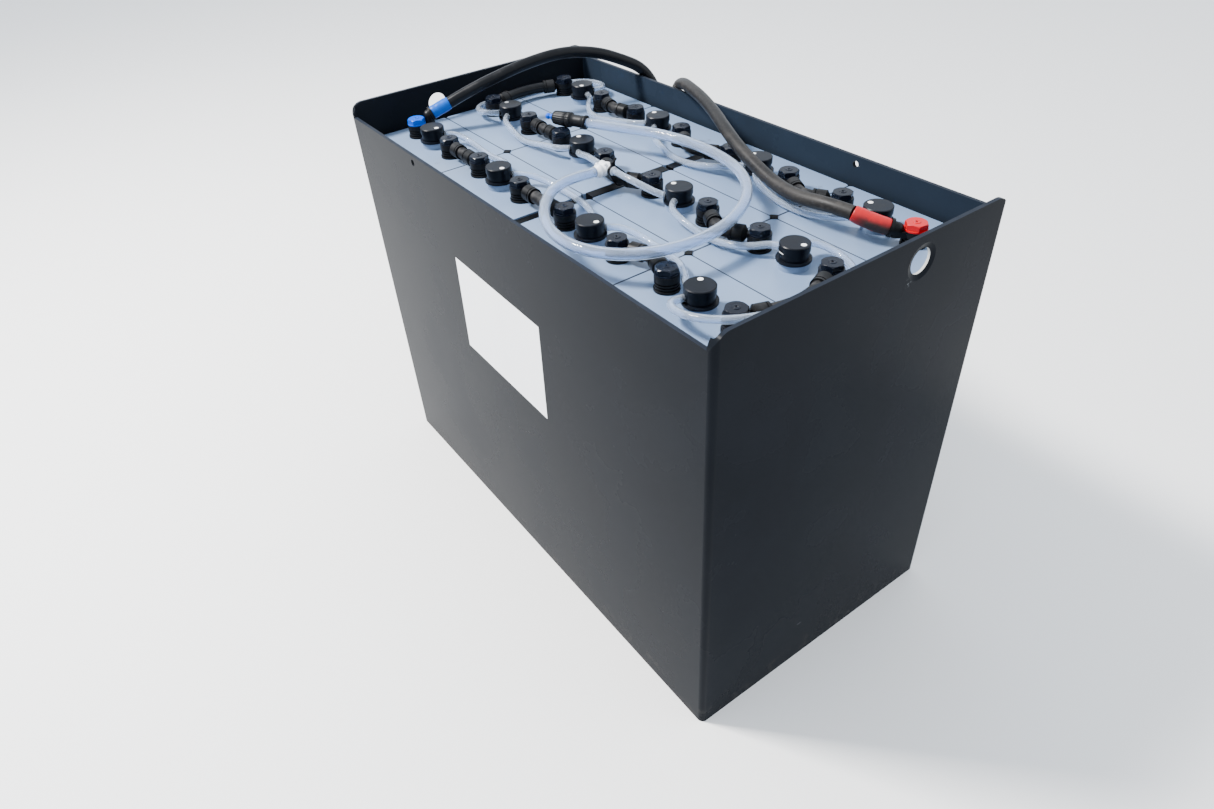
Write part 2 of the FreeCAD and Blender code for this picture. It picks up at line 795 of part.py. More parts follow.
def cord(points, diameter, name):
    """A solid tube along a route."""
    points = [FreeCAD.Vector(*point) for point in points]
    edges = []
    radii = []
    here = points[0]
    for before, corner, after in zip(points, points[1:], points[2:]):
        start, middle, end, radius = arc_corner(before, corner, after)
        edges.append(Part.LineSegment(here, start).toShape())
        edges.append(Part.Arc(start, middle, end).toShape())
        radii.append(radius)
        here = end
    edges.append(Part.LineSegment(here, points[-1]).toShape())
    route = Part.Wire(edges)
    section = Part.Wire(Part.makeCircle(float(diameter) / 2, points[0], points[1] - points[0]))
    tube = route.makePipeShell([section], True, False)
    expected = math.pi * float(diameter) ** 2 / 4 * route.Length
    worst = min(radii)
    print(f"{name}: length {route.Length:.0f}, least radius {worst:.0f}, volume ratio {tube.Volume / expected:.4f}")
    print("   radii", " ".join(f"{radius:.0f}" for radius in radii))
    return tube


# Filler plugs: the angle of each level window, and of the middle between its two hose nipples
WINDOW_TURNS = dict(f1=13, f2=-3, f3=12, f4=138, m1=180, m2=170, m3=180, m4=12, b1=-39, b2=171, b3=178, b4=190)
NIPPLE_TURNS = dict(f1=95, f2=91, f3=102, f4=208, m1=270, m2=270, m3=262, m4=142, b1=30, b2=266, b3=268, b4=276)


def nipple_angle(cell, which):
    return NIPPLE_TURNS[cell] + which * float(s.nipple_spread)


def nipple_end(cell, which):
    """The end of a plug's first (-1) or second (1) nipple."""
    out = direction(nipple_angle(cell, which))
    return cell_place(cell) + out * float(s.nipple_reach) + UP * float(nipple_height)


def plug_body():
    body = new_body("plug")
    low = opening_top - s.plug_neck
    neck = s.opening_radius - s.plug_play
    top = opening_top + s.plug_flange_height
    outline = [(ZERO, low), (neck, low), (neck, opening_top), (s.plug_flange, opening_top)]
    outline += [(s.plug_flange, top), (s.plug_radius, top), (s.plug_radius, plug_top), (ZERO, plug_top)]
    revolve(body, "XZ_Plane", outline, "plug_turned")
    return body


def plug_cap():
    body = new_body("cap")
    inner = s.cap_radius - s.cap_skirt
    edge = s.cap_radius - s.cap_edge
    roof = cap_top - s.cap_top
    outline = [(inner, plug_top), (s.cap_radius, plug_top), (s.cap_radius, cap_top - s.cap_edge), (edge, cap_top)]
    outline += [(ZERO, cap_top), (ZERO, roof), (inner, roof)]
    revolve(body, "XZ_Plane", outline, "cap_turned")
    place = (s.indicator_offset, ZERO, roof - s.cap_top)
    window = rod("cap_window", s.indicator_radius + s.window_play, s.cap_top * 3, place)
    return cut("plug_cap", body, window)


def level_float():
    """The white indicator, its rod and the float under the plug, one piece."""
    offset = s.indicator_offset
    head = rod("indicator_head", s.indicator_radius, s.indicator_height, (offset, ZERO, cap_top - s.indicator_height))
    low = opening_top - s.plug_neck - s.float_drop - s.float_height
    stem = rod("indicator_rod", s.rod_radius, cap_top - s.indicator_height - low - s.wall, (offset, ZERO, low + s.wall))
    ball = rod("float_drum", s.float_radius + s.rod_radius, s.float_height, (ZERO, ZERO, low))
    return fuse("level_float", head, stem, ball)


def plugs():
    body = plug_body()
    cap = plug_cap()
    level = level_float()
    doc.recompute()
    bodies = []
    for cell in CELLS:
        place = cell_place(cell)
        plug = turned_copy(body.Shape, place)
        for which in (-1, 1):
            out = direction(nipple_angle(cell, which))
            foot = place + FreeCAD.Vector(0, 0, float(nipple_height))
            nipple = Part.makeCylinder(float(s.nipple_radius), float(s.nipple_reach), foot, out)
            plug = plug.fuse(nipple)
        rod_place = place + direction(WINDOW_TURNS[cell]) * float(s.indicator_offset)
        bore = Part.makeCylinder(float(s.rod_radius + s.rod_play), float(cap_top), rod_place, UP)
        bodies.append(plug.cut(bore))
    group("filler_plug_bodies", bodies)
    turns = WINDOW_TURNS.items()
    group("filler_plug_caps", [turned_copy(cap.Shape, cell_place(cell), turn) for cell, turn in turns])
    for cell, turn in turns:
        group(f"level_float_{cell}", [turned_copy(level.Shape, cell_place(cell), turn)])
    blanks = []
    for cell, which in (("f1", 1), ("b4", 1)):
        out = direction(nipple_angle(cell, which))
        radius = float(s.hose_diameter) / 2
        blanks.append(Part.makeCylinder(radius, float(s.end_cap_length), nipple_end(cell, which), out))
    group("hose_end_caps", blanks)


# Water hoses between the plugs. Each route starts and ends at a nipple; the points between are chosen.
TEE = FreeCAD.Vector(-1.0, -33.0, 600.0) + LID_MOVE
HOSES = {
    "water_hoses_front": [
        (("f1", -1), ("f2", 1), [
            (-287.2, -110.7, 586.6), (-275.8, -104, 583.9), (-263, -100.7, 581), (-249.6, -99.4, 578.8),
            (-236.1, -99.5, 577.4), (-222.6, -100.3, 576.8), (-209.1, -101.4, 577.1),
            (-195.6, -102.6, 578), (-182.1, -103.6, 579.5), (-168.7, -104.5, 581.4),
            (-155.4, -105.5, 583.5), (-142.1, -107.8, 585.5), (-129.8, -113.1, 587),
        ]),
        (("f2", -1), ("f3", 1), [
            (-86.6, -111.3, 586.6), (-76.2, -102.4, 584.3), (-64.2, -95.9, 581.6), (-51.1, -91.6, 579.3),
            (-37.5, -89, 577.5), (-23.7, -87.7, 576.4), (-9.8, -87.6, 576), (4.2, -88.5, 576.2),
            (17.9, -90.4, 576.9), (31.5, -93.5, 578.3), (44.6, -97.6, 580.3), (57.4, -102.8, 582.6),
            (69.6, -109.1, 585), (81.2, -116.5, 586.9),
        ]),
        (("f3", -1), ("f4", -1), [
            (123.8, -108.8, 586.7), (135.1, -101.6, 584.4), (147.9, -97.6, 581.8), (161.2, -95.4, 579.6),
            (174.8, -94.4, 578), (188.4, -94.4, 577.1), (202.1, -95.3, 576.9), (215.5, -97.5, 577.5),
            (228.6, -101.2, 578.8), (241, -106.7, 580.7), (252.4, -113.9, 583), (263, -122.2, 585.2),
            (274, -130.2, 586.9),
        ]),
    ],
    "water_hoses_middle": [
        (("m1", 1), ("m2", -1), [
            (-283.5, -24.8, 586.7), (-270, -28.7, 584.7), (-256.2, -30.9, 582.2), (-242.2, -32.8, 580),
            (-228.2, -34.6, 578.5), (-214, -35.7, 578), (-199.8, -35.4, 578.7), (-185.8, -33.8, 580.2),
            (-171.8, -32, 582.3), (-157.8, -30.6, 584.3), (-143.8, -29.2, 585.9), (-130.2, -25.2, 587.1),
        ]),
        (("m2", 1), (-1, "tee"), [
            (-84.5, -18.9, 589.8), (-73, -20.6, 592.5), (-59.2, -24.2, 595.8), (-45.4, -28.4, 598.4),
            (-31, -31.4, 599.8),
        ]),
        (("m3", -1), (1, "tee"), [
            (80, -21.4, 591.2), (66.6, -26.4, 595), (53, -30, 597.7), (39.8, -32.2, 599.2), (26.8, -33, 599.9),
        ]),
        (("m3", 1), ("m4", 1), [
            (126.8, -28.1, 586.7), (140.1, -32.9, 584.6), (154.3, -34.5, 582.2), (168.6, -34.9, 580.2),
            (183, -35.1, 578.7), (197.4, -35.3, 578), (211.8, -34.9, 578.3), (226.1, -33.4, 579.4),
            (240.1, -30.4, 581.1), (253.3, -24.9, 583.2), (264.7, -16.4, 585.3), (273.8, -5.3, 586.8),
        ]),
    ],
    "water_hoses_back": [
        (("b1", -1), ("b2", -1), [
            (-273.9, 130.2, 586.6), (-263.9, 120.7, 584.3), (-253.2, 112, 581.7), (-241.1, 105.5, 579.5),
            (-227.7, 101.7, 578.2), (-213.8, 100.5, 577.9), (-199.8, 101.4, 578.5), (-186, 103.5, 579.9),
            (-172.4, 106.1, 581.8), (-158.7, 108.4, 583.8), (-145, 110.5, 585.6), (-131.7, 114.4, 587),
        ]),
        (("b2", 1), ("b3", -1), [
            (-87.1, 111, 586.8), (-75, 104.5, 584.8), (-62, 99.9, 582.4), (-48.7, 96.1, 580.4),
            (-35.2, 93, 578.7), (-21.4, 90.5, 577.5), (-7.6, 88.9, 576.9), (6.4, 88.5, 577),
            (20.3, 89.6, 577.6), (34, 91.9, 578.9), (47.4, 95.4, 580.7), (60.5, 99.8, 583),
            (73.2, 105.3, 585.2), (84.9, 112.8, 586.9),
        ]),
        (("b3", 1), ("b4", -1), [
            (128.5, 111.7, 586.7), (140.4, 105.1, 584.4), (153.3, 100.9, 581.8), (166.7, 98.3, 579.6),
            (180.3, 96.7, 577.8), (194.1, 95.7, 576.8), (207.9, 95.2, 576.4), (221.7, 95.3, 576.8),
            (235.5, 95.9, 577.9), (249.1, 97.2, 579.7), (262.5, 99.5, 582.1), (275.5, 103.6, 584.7),
            (287.2, 110.4, 586.8),
        ]),
    ],
    "water_hoses_ends": [
        (("f4", 1), ("m4", -1), [
            (297.2, -169.7, 588.1), (308, -178.2, 590.1), (321.5, -181.4, 592.5), (335.4, -181.2, 594.8),
            (349, -177.8, 596.9), (361.4, -171.4, 598.7), (372.1, -162.4, 599.9), (380.6, -151.2, 600.5),
            (387.1, -138.6, 600.5), (391.6, -125.2, 599.9), (394.6, -111.5, 598.8),
            (396.6, -97.6, 597.3), (397.7, -83.6, 595.5), (398.3, -69.6, 593.3), (398.3, -55.7, 591),
            (397.8, -41.8, 588.6), (396.5, -27.9, 586.2), (394.2, -14.2, 583.9), (390.4, -0.8, 581.7),
            (384.7, 12, 579.8), (376.6, 23.5, 578.5), (366.1, 32.9, 578), (353.7, 39.6, 578.5),
            (340.2, 43.3, 579.8), (326.3, 44.1, 581.8), (312.7, 41.5, 584.3), (301.9, 33.1, 586.7),
        ]),
        (("m1", -1), ("b1", 1), [
            (-328.6, -25.5, 587.2), (-341.5, -30.6, 586.4), (-355.2, -30.6, 585.2),
            (-368.3, -26.1, 583.8), (-379.3, -17.8, 582.3), (-387.7, -6.9, 580.8), (-393.3, 5.8, 579.4),
            (-396.5, 19.2, 578.3), (-398.2, 33, 577.3), (-399.1, 46.9, 576.7), (-399.4, 60.8, 576.3),
            (-399.6, 74.7, 576), (-399.7, 88.6, 575.9), (-399.6, 102.5, 575.9), (-399, 116.4, 576.1),
            (-397.6, 130.2, 576.4), (-394.8, 143.8, 576.8), (-389.9, 156.8, 577.5),
            (-382.3, 168.4, 578.4), (-372.1, 177.7, 579.6), (-359.8, 184.1, 580.9),
            (-346.4, 187.4, 582.3), (-332.6, 187.9, 583.6), (-319, 185.7, 585), (-306.3, 180.2, 586.2),
            (-297.3, 170, 587.1),
        ]),
    ],
}


def hose_end(cell, which):
    if which == "tee":
        return TEE + FreeCAD.Vector(cell * float(s.tee_arm), 0, 0)
    return nipple_end(cell, which)


def end_move(cell, which):
    return LID_MOVE if which == "tee" else cell_move(cell)


def water_hoses():
    for label, routes in HOSES.items():
        tubes = []
        for start, end, middle in routes:
            chosen = carried(middle, end_move(*start), end_move(*end))
            points = [hose_end(*start), *chosen, hose_end(*end)]
            tubes.append(cord(points, s.hose_diameter, f"{label} {start} {end}"))
        group(label, tubes)


SUPPLY_ROUTE = [
    (-1, -53, 600), (-2, -76, 601.5), (6, -110, 604.5), (28, -145, 606.8), (70, -179, 607.5), (122, -200, 607.5),
    (176, -196, 607.5), (218, -165, 607), (240, -115, 607), (242, -60, 607.5), (224, -7, 608), (190, 41, 608),
    (141, 75, 608), (84, 90, 608), (22, 91, 608), (-38, 76, 608.5), (-91, 48, 608.5), (-134.4, 28, 609.3),
]


def supply_hose():
    """The supply hose's tee, its loop over the cells and the coupling on its end."""
    centre = TEE
    arm = [(0, s.tee_radius), (s.tee_arm, s.tee_radius)]
    clamp = s.tee_clamp_length
    branch = [(0, s.tee_branch), (clamp, s.tee_branch), (clamp, s.tee_clamp), (clamp * 2, s.tee_clamp)]
    branch += [(clamp * 2, s.tee_branch), (clamp * 3, s.tee_branch), (clamp * 3, s.tee_clamp)]
    branch += [(clamp * 4, s.tee_clamp), (clamp * 4, s.tee_branch), (s.tee_reach, s.tee_branch)]
    arms = [turned(arm, centre, FreeCAD.Vector(side, 0, 0)) for side in (-1, 1)]
    arms.append(turned(branch, centre, FreeCAD.Vector(0, -1, 0)))
    group("hose_tee", [Part.makeSphere(float(s.tee_branch), centre).multiFuse(arms)])
    route = carried(SUPPLY_ROUTE, LID_MOVE, LID_MOVE)
    group("supply_hose", [cord(route, s.supply_diameter, "supply_hose")])
    end = route[-1]
    along = (end - route[-2]).normalize()
    slim = s.coupling_slim_length
    grip_end = slim + s.coupling_grip_length
    body = [(0, s.coupling_flare), (s.coupling_flare_length, s.coupling_flare)]
    body += [(s.coupling_flare_length, s.coupling_slim), (slim, s.coupling_slim)]
    body += [(slim + s.coupling_chamfer, s.coupling_shoulder), (slim + s.coupling_chamfer * 4, s.coupling_shoulder)]
    body += [(slim + s.coupling_chamfer * 6, s.coupling_grip), (grip_end - s.coupling_chamfer, s.coupling_grip)]
    body += [(grip_end, s.coupling_grip - s.coupling_chamfer)]
    group("coupling_body", [turned(body, end, along)])
    tip = [(0, s.tip_radius), (s.tip_length / 3, s.tip_radius), (s.tip_length / 3, s.tip_neck)]
    tip += [(s.tip_length * 0.6, s.tip_neck), (s.tip_length * 0.6, s.tip_radius), (s.tip_length, s.tip_radius)]
    group("coupling_tip", [turned(tip, end + along * float(grip_end), along)])


def belt(first, second, offset):
    """A face round two circles in the YZ plane, each (y, z, radius), with the tangents between them."""
    y1, z1, r1 = first
    y2, z2, r2 = second
    apart = math.hypot(y2 - y1, z2 - z1)
    heading = math.atan2(z2 - z1, y2 - y1)
    spread = math.acos((r1 - r2) / apart)
    corners = []
    for angle in (heading + spread, heading - spread):
        unit = FreeCAD.Vector(0, math.cos(angle), math.sin(angle))
        corners.append([FreeCAD.Vector(0, y1, z1) + unit * (r1 + offset), FreeCAD.Vector(0, y2, z2) + unit * (r2 + offset)])
    forward = FreeCAD.Vector(0, math.cos(heading), math.sin(heading))
    near = FreeCAD.Vector(0, y1, z1) - forward * (r1 + offset)
    far = FreeCAD.Vector(0, y2, z2) + forward * (r2 + offset)
    (a1, a2), (b1, b2) = corners
    edges = [
        Part.LineSegment(a1, a2).toShape(),
        Part.Arc(a2, far, b2).toShape(),
        Part.LineSegment(b2, b1).toShape(),
        Part.Arc(b1, near, a1).toShape(),
    ]
    return Part.Face(Part.Wire(edges))


def cable_tie():
    """The tie that holds the tee's arm to the connector behind it: a band, its head and its tail."""
    width = FreeCAD.Vector(float(s.tie_width), 0, 0)
    place = TEE.x + float(s.tee_arm) - width.x - 0.6
    bend = Part.Arc(*link_points(TIED_LINK)).toShape().Curve
    aside = math.sqrt(bend.Radius**2 - (place + width.x / 2 - bend.Center.x) ** 2)
    link = (bend.Center.y - aside, float(link_height), float(s.link_radius + s.tie_slack))
    arm = (TEE.y, TEE.z, float(s.tee_radius))
    clear = float(s.tie_play)
    band = belt(link, arm, clear + float(s.tie_thick)).extrude(width).cut(belt(link, arm, clear).extrude(width))
    crown = TEE.z + float(s.tee_radius) + clear + float(s.tie_thick)
    head = Part.makeBox(width.x, float(s.tie_head), float(s.tie_head))
    head.translate(FreeCAD.Vector(0, TEE.y - float(s.tie_head) / 2, crown - float(s.tie_thick) / 2))
    tail = Part.makeBox(width.x * 0.7, float(s.tie_thick), float(s.tie_tail))
    tail.translate(FreeCAD.Vector(-width.x * 0.35, -float(s.tie_thick) / 2, 0))
    lean = FreeCAD.Rotation(FreeCAD.Vector(0, 0, 1), FreeCAD.Vector(0.3, 0.5, 0.8))
    tail.Placement = FreeCAD.Placement(FreeCAD.Vector(width.x / 2, TEE.y, crown + 2), lean) * tail.Placement
    tie = band.multiFuse([head, tail])
    tie.translate(FreeCAD.Vector(place, 0, 0))
    group("cable_tie", [tie])


# Battery cables: lug, coloured sleeve and cable, both ending in the plug on the floor behind
MINUS_ELBOW = (-357.2, -117.8, 599.8)
MINUS_SLEEVE = [(-356, -112, 602), (-353.2, -98.5, 607.2), (-348.8, -84, 612.5)]
MINUS_OVER = [
    (-348.8, -84, 612.5), (-340, -56, 624.5), (-325, -10, 640), (-309, 46, 655), (-295, 102, 661), (-281, 154, 652),
    (-266, 193, 635), (-253, 222, 619),
]
MINUS_DOWN = [
    (-245, 243, 586), (-239, 254, 533), (-234, 260, 445), (-228, 262, 330), (-217, 261, 215), (-194, 257, 115),
    (-150, 250, 50), (-92, 245, 23), (-36, 244, 20),
]
PLUS_ELBOW = (347.8, 121.5, 590.5)
PLUS_SLEEVE = [(341.5, 116, 592.5), (327, 103.5, 597), (306, 93.5, 604.5)]
PLUS_OVER = [
    (306, 93.5, 604.5), (277, 87, 606.5), (232, 84, 601), (186, 94, 598), (142, 104, 603), (92, 117, 611.5),
    (43, 136.5, 618.8), (-8, 160.5, 624), (-57, 181, 627), (-103, 198, 626.5), (-141, 216, 621.5),
]
PLUS_DOWN = [
    (-176, 234, 606), (-202, 248, 573), (-212, 259, 523), (-209, 267, 440), (-199, 272, 330), (-184, 275, 225),
    (-160, 276, 130), (-118, 273, 62), (-70, 269, 29), (-36, 268, 20),
]


def battery_cable(name, pole, elbow, sleeve, over, down):
    """A lug with its moulded elbow, the coloured sleeve and the cable."""
    place = pole_place(pole)
    foot = place + UP * float(seal_top)
    move = pole_move(pole)
    knee = FreeCAD.Vector(*elbow) + move
    sleeve = carried(sleeve, move, move)
    route = carried(over, move, RIM_MOVE) + carried(down, RIM_MOVE, GROUND_MOVE)
    start = sleeve[0]
    radius = float(s.lug_barrel)
    out = knee - place
    out.z = 0
    palm = Part.makeCylinder(float(s.lug_palm), float(s.boot_height), foot, UP)
    slab = Part.makeBox(out.Length, radius * 2, float(s.boot_height), FreeCAD.Vector(0, -radius, 0))
    slab.Placement = FreeCAD.Placement(foot, FreeCAD.Rotation(FreeCAD.Vector(1, 0, 0), out))
    upright = Part.makeCylinder(radius, knee.z - foot.z, FreeCAD.Vector(knee.x, knee.y, foot.z), UP)
    along = start - knee
    barrel = Part.makeCylinder(radius, along.Length, knee, along)
    ring_start = start - FreeCAD.Vector(along).normalize() * float(s.lug_ring)
    ring = Part.makeCylinder(float(s.lug_ring_radius), float(s.lug_ring), ring_start, along)
    whole = palm.multiFuse([slab, upright, Part.makeSphere(radius, knee), barrel, ring])
    bore = Part.makeCylinder(float(s.bolt_radius + s.post_play), float(s.boot_height) * 2, foot - UP, UP)
    head = float(s.bolt_flange + s.post_play)
    above = Part.makeCylinder(head, float(s.hex_height) * 3, place + UP * float(boot_top), UP)
    group(name + "_lug", [whole.cut(bore).cut(above)])
    group(name + "_sleeve", [cord(sleeve, s.sleeve_radius * 2, name + "_sleeve")])
    group(name + "_cable", [cord(route, s.cable_diameter, name + "_cable")])


def spacers():
    """Black plastic strips in the middle gap, one to a row and stepped, and pegs where four lids meet."""
    wide = s.middle_gap - s.strip_play * 2
    strips = []
    for row, rise in (("f", 0), ("m", 1), ("b", 0.5)):
        top = lid_top - s.strip_step + s.strip_step * (rise * 1.5)
        low = (-wide / 2, ROWS[row] - s.strip_length / 2, lid_top - s.strip_height)
        high = (wide / 2, ROWS[row] + s.strip_length / 2, top)
        strips.append(block("strip", low, high))
    doc.recompute()
    group("middle_spacers", [strip.Shape for strip in strips])
    pegs = []
    for side_x in (-1, 1):
        for side_y in (-1, 1):
            across = s.middle_gap / 2 + s.cell_length + s.cell_gap / 2
            place = FreeCAD.Vector(side_x * float(across), side_y * float(row_pitch) / 2, float(lid_top))
            half = float(s.corner_head) / 2
            head = Part.makeBox(half * 2, half * 2, float(s.corner_thick), FreeCAD.Vector(-half, -half, 0))
            head.rotate(FreeCAD.Vector(), UP, 45)
            head.translate(place)
            depth = float(s.corner_depth)
            peg = Part.makeCylinder(float(s.corner_peg), depth, place - FreeCAD.Vector(0, 0, depth), UP)
            pegs.append(head.fuse(peg))
    group("corner_pegs", pegs)


def label():
    plate = Part.makeBox(float(s.label_width), float(s.label_thick), float(s.label_height))
    plate.translate(FreeCAD.Vector(-float(s.label_width) / 2, 0, -float(s.label_height) / 2))
    turn = FreeCAD.Rotation(FreeCAD.Vector(0, 1, 0), float(s.label_tilt))
    across = -float(half_width + s.label_thick)
    middle = FreeCAD.Vector(-float(s.label_shift), across, float(side_top - s.label_drop))
    plate.Placement = FreeCAD.Placement(middle, turn) * plate.Placement
    group("label", [plate])


def battery_plug():
    """The plug on the ends of both cables, which lies on the floor: a housing with an open mouth."""
    rear = FreeCAD.Vector(*MINUS_DOWN[-1]) + GROUND_MOVE
    spacing = float(s.cable_spacing)
    body = new_body("plug_housing")
    wide = s.housing_width / 2
    tall = s.housing_height
    corner = s.housing_round
    outline = [
        (corner - wide, ZERO),
        (wide - corner, ZERO, corner),
        (wide, corner),
        (wide, tall - corner, corner),
        (wide - corner, tall),
        (corner - wide, tall, corner),
        (-wide, tall - corner),
        (-wide, corner, corner),
    ]
    pad(body, "YZ_Plane", outline, s.housing_length, "housing_block")
    doc.recompute()
    place = rear + FreeCAD.Vector(float(s.entry_length), spacing / 2, -rear.z)
    housing = turned_copy(body.Shape, place)
    wall = float(s.housing_wall)
    depth = float(s.mouth_depth)
    mouth = Part.makeBox(depth, float(s.housing_width) - wall * 2, float(s.housing_height) - wall * 2)
    mouth.translate(place + FreeCAD.Vector(float(s.housing_length) - depth, wall - float(s.housing_width) / 2, wall))
    edges = [edge for edge in mouth.Edges if abs(edge.tangentAt(edge.FirstParameter).x) > 0.9]
    housing = housing.cut(mouth.makeFillet(float(s.housing_round) - wall, edges))
    contacts = []
    for step in (0, 1):
        start = rear + FreeCAD.Vector(0, step * spacing, 0)
        entry = Part.makeCylinder(float(s.entry_radius), float(s.entry_length), start, FreeCAD.Vector(1, 0, 0))
        housing = housing.fuse(entry)
        seat = start + FreeCAD.Vector(float(s.entry_length + s.housing_length) - depth, 0, 0)
        pin = Part.makeCylinder(float(s.contact_radius), float(s.contact_length), seat, FreeCAD.Vector(1, 0, 0))
        contacts.append(pin)
    group("battery_plug_housing", [housing])
    group("battery_plug_contacts", contacts)


tray()
side_packing()
cells()
poles()
connector_cables()
plugs()
water_hoses()
supply_hose()
cable_tie()
battery_cable("minus", "f1a", MINUS_ELBOW, MINUS_SLEEVE, MINUS_OVER, MINUS_DOWN)
battery_cable("plus", "b4b", PLUS_ELBOW, PLUS_SLEEVE, PLUS_OVER, PLUS_DOWN)
spacers()
label()
battery_plug()
doc.recompute()

for thing in doc.Objects:
    if "Invalid" in thing.State or "Error" in thing.State:
        raise RuntimeError(f"{thing.Label} failed: {thing.State}")
os.makedirs("parts", exist_ok=True)
for label_text, thing in nodes.items():
    shape = thing.Shape
    if shape.isNull() or not shape.isValid():
        raise RuntimeError(f"{label_text} has no valid shape")
    shape.exportStep(f"parts/{label_text}.step")
print(f"{len(nodes)} nodes written")
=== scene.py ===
import json
import math

import bpy
from mathutils import Matrix, Vector, noise


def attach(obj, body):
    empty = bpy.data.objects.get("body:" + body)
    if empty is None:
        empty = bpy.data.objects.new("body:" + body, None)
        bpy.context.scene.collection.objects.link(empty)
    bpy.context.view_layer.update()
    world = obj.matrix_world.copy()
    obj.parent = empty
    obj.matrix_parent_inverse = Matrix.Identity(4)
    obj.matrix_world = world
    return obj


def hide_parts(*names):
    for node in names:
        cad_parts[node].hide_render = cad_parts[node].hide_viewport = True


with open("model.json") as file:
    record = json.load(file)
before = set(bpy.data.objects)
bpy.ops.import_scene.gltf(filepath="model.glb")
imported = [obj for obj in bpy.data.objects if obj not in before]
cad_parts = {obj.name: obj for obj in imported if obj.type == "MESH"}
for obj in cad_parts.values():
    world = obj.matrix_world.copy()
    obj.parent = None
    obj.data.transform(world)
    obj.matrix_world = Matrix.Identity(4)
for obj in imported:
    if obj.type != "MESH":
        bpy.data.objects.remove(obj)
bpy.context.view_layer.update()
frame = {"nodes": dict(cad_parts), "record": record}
nodes = frame["nodes"]
mm = 0.001  # one millimetre in metres


# Shader maths: a socket that can be added, scaled and compared
class Field:
    def __init__(self, look, socket):
        self.look = look
        self.socket = socket

    def calc(self, operation, other=0.0, third=0.0):
        return self.look.node("Math", {0: self, 1: other, 2: third}, operation=operation)

    def __add__(self, other):
        return self.calc("ADD", other)

    def __sub__(self, other):
        return self.calc("SUBTRACT", other)

    def __mul__(self, other):
        return self.calc("MULTIPLY", other)

    def __rsub__(self, other):
        return self * -1 + other

    __radd__ = __add__
    __rmul__ = __mul__

    def step(self, low, high):
        return self.look.node("MapRange", {0: self, 1: low, 2: high}, interpolation_type="SMOOTHSTEP")


class Look:
    def __init__(self, name, colour, roughness, **constants):
        self.material = bpy.data.materials.new(name)
        self.material.use_nodes = True
        self.tree = self.material.node_tree
        self.shader = self.tree.nodes["Principled BSDF"]
        self.colour = colour
        self.feed(self.shader.inputs["Base Color"], (*colour, 1))
        self.feed(self.shader.inputs["Roughness"], roughness)
        for key, value in constants.items():
            self.feed(self.shader.inputs[key.replace("_", " ")], value)

    def feed(self, socket, value):
        if isinstance(value, Field):
            self.tree.links.new(value.socket, socket)
        else:
            socket.default_value = value

    def node(self, kind, inputs, output=0, **settings):
        made = self.tree.nodes.new("ShaderNode" + kind)
        for key, value in settings.items():
            setattr(made, key, value)
        for key, value in inputs.items():
            self.feed(made.inputs[key], value)
        return Field(self, made.outputs[output])

    def place(self, scale=(1, 1, 1)):
        spot = self.node("TexCoord", {}, "Object")
        return spot if scale == (1, 1, 1) else self.node("Mapping", {"Vector": spot, "Scale": scale})

    def axis(self, index):
        return self.node("SeparateXYZ", {0: self.place()}, index)

    def facing(self, index):
        return self.node("SeparateXYZ", {0: self.node("NewGeometry", {}, "Normal")}, index)

    def noise(self, scale, detail=3.0, rough=0.55, stretch=(1, 1, 1)):
        inputs = {"Vector": self.place(stretch), "Scale": scale, "Detail": detail, "Roughness": rough}
        return self.node("TexNoise", inputs, 0)

    def near(self, point, reach):
        offset = self.node("VectorMath", {0: self.place(), 1: point}, "Value", operation="DISTANCE")
        return 1 - offset.step(0, reach)

    def mix(self, amount, first, second):
        pair = [value if isinstance(value, Field) else (*value, 1) for value in (first, second)]
        return self.node("Mix", {0: amount, 6: pair[0], 7: pair[1]}, 2, data_type="RGBA")

    def paint(self, *layers):
        mixed = self.colour
        for amount, colour in layers:
            mixed = self.mix(amount, mixed, colour)
        self.feed(self.shader.inputs["Base Color"], mixed)
        return self

    def rough(self, value):
        self.feed(self.shader.inputs["Roughness"], value)
        return self

    def bump(self, height, distance, strength=0.4):
        normal = self.node("Bump", {"Height": height, "Distance": distance, "Strength": strength}, "Normal")
        self.feed(self.shader.inputs["Normal"], normal)
        return self


# Rubber or plastic with dust in patches, more of it on top
def dusty(name, colour, roughness, dust, amount, grain=900, scale=45, **constants):
    look = Look(name, colour, roughness, **constants)
    patches = look.noise(scale, 5).step(0.42, 0.7)
    lying = look.facing(2).step(0.1, 0.95) * 0.75 + 0.25
    shade = look.noise(scale * 4, 3)
    cover = patches * lying * amount
    look.paint((shade * 0.5, tuple(v * 1.6 for v in colour)), (cover, dust))
    look.rough(cover * 0.35 + roughness)
    return look.bump(look.noise(grain, 2), 0.0001, 0.35).material


# Tray paint: glossy powder coat
paintValues = {"colour": (0.0062, 0.0075, 0.01), "roughness": 0.24, "peel": 700, "gloss": 0.02,
               "film": (0.01, 0.0122, 0.0165), "foot": (0.07, 0.065, 0.06), "edge": (0.02, 0.025, 0.036),
               "scuff": (0.2, 0.215, 0.23), "bare": (0.5, 0.5, 0.48), "litBackWall": (0.0155, 0.0235, 0.037),
               "scratchAt": (0.4175, -0.03, 0.0715), "cornerAt": (0.4175, 0.0585, 0.5765),
               "rightHole": (0.415, 0.075, 0.595), "leftHole": (-0.415, -0.075, 0.595), "holeReach": 0.019}


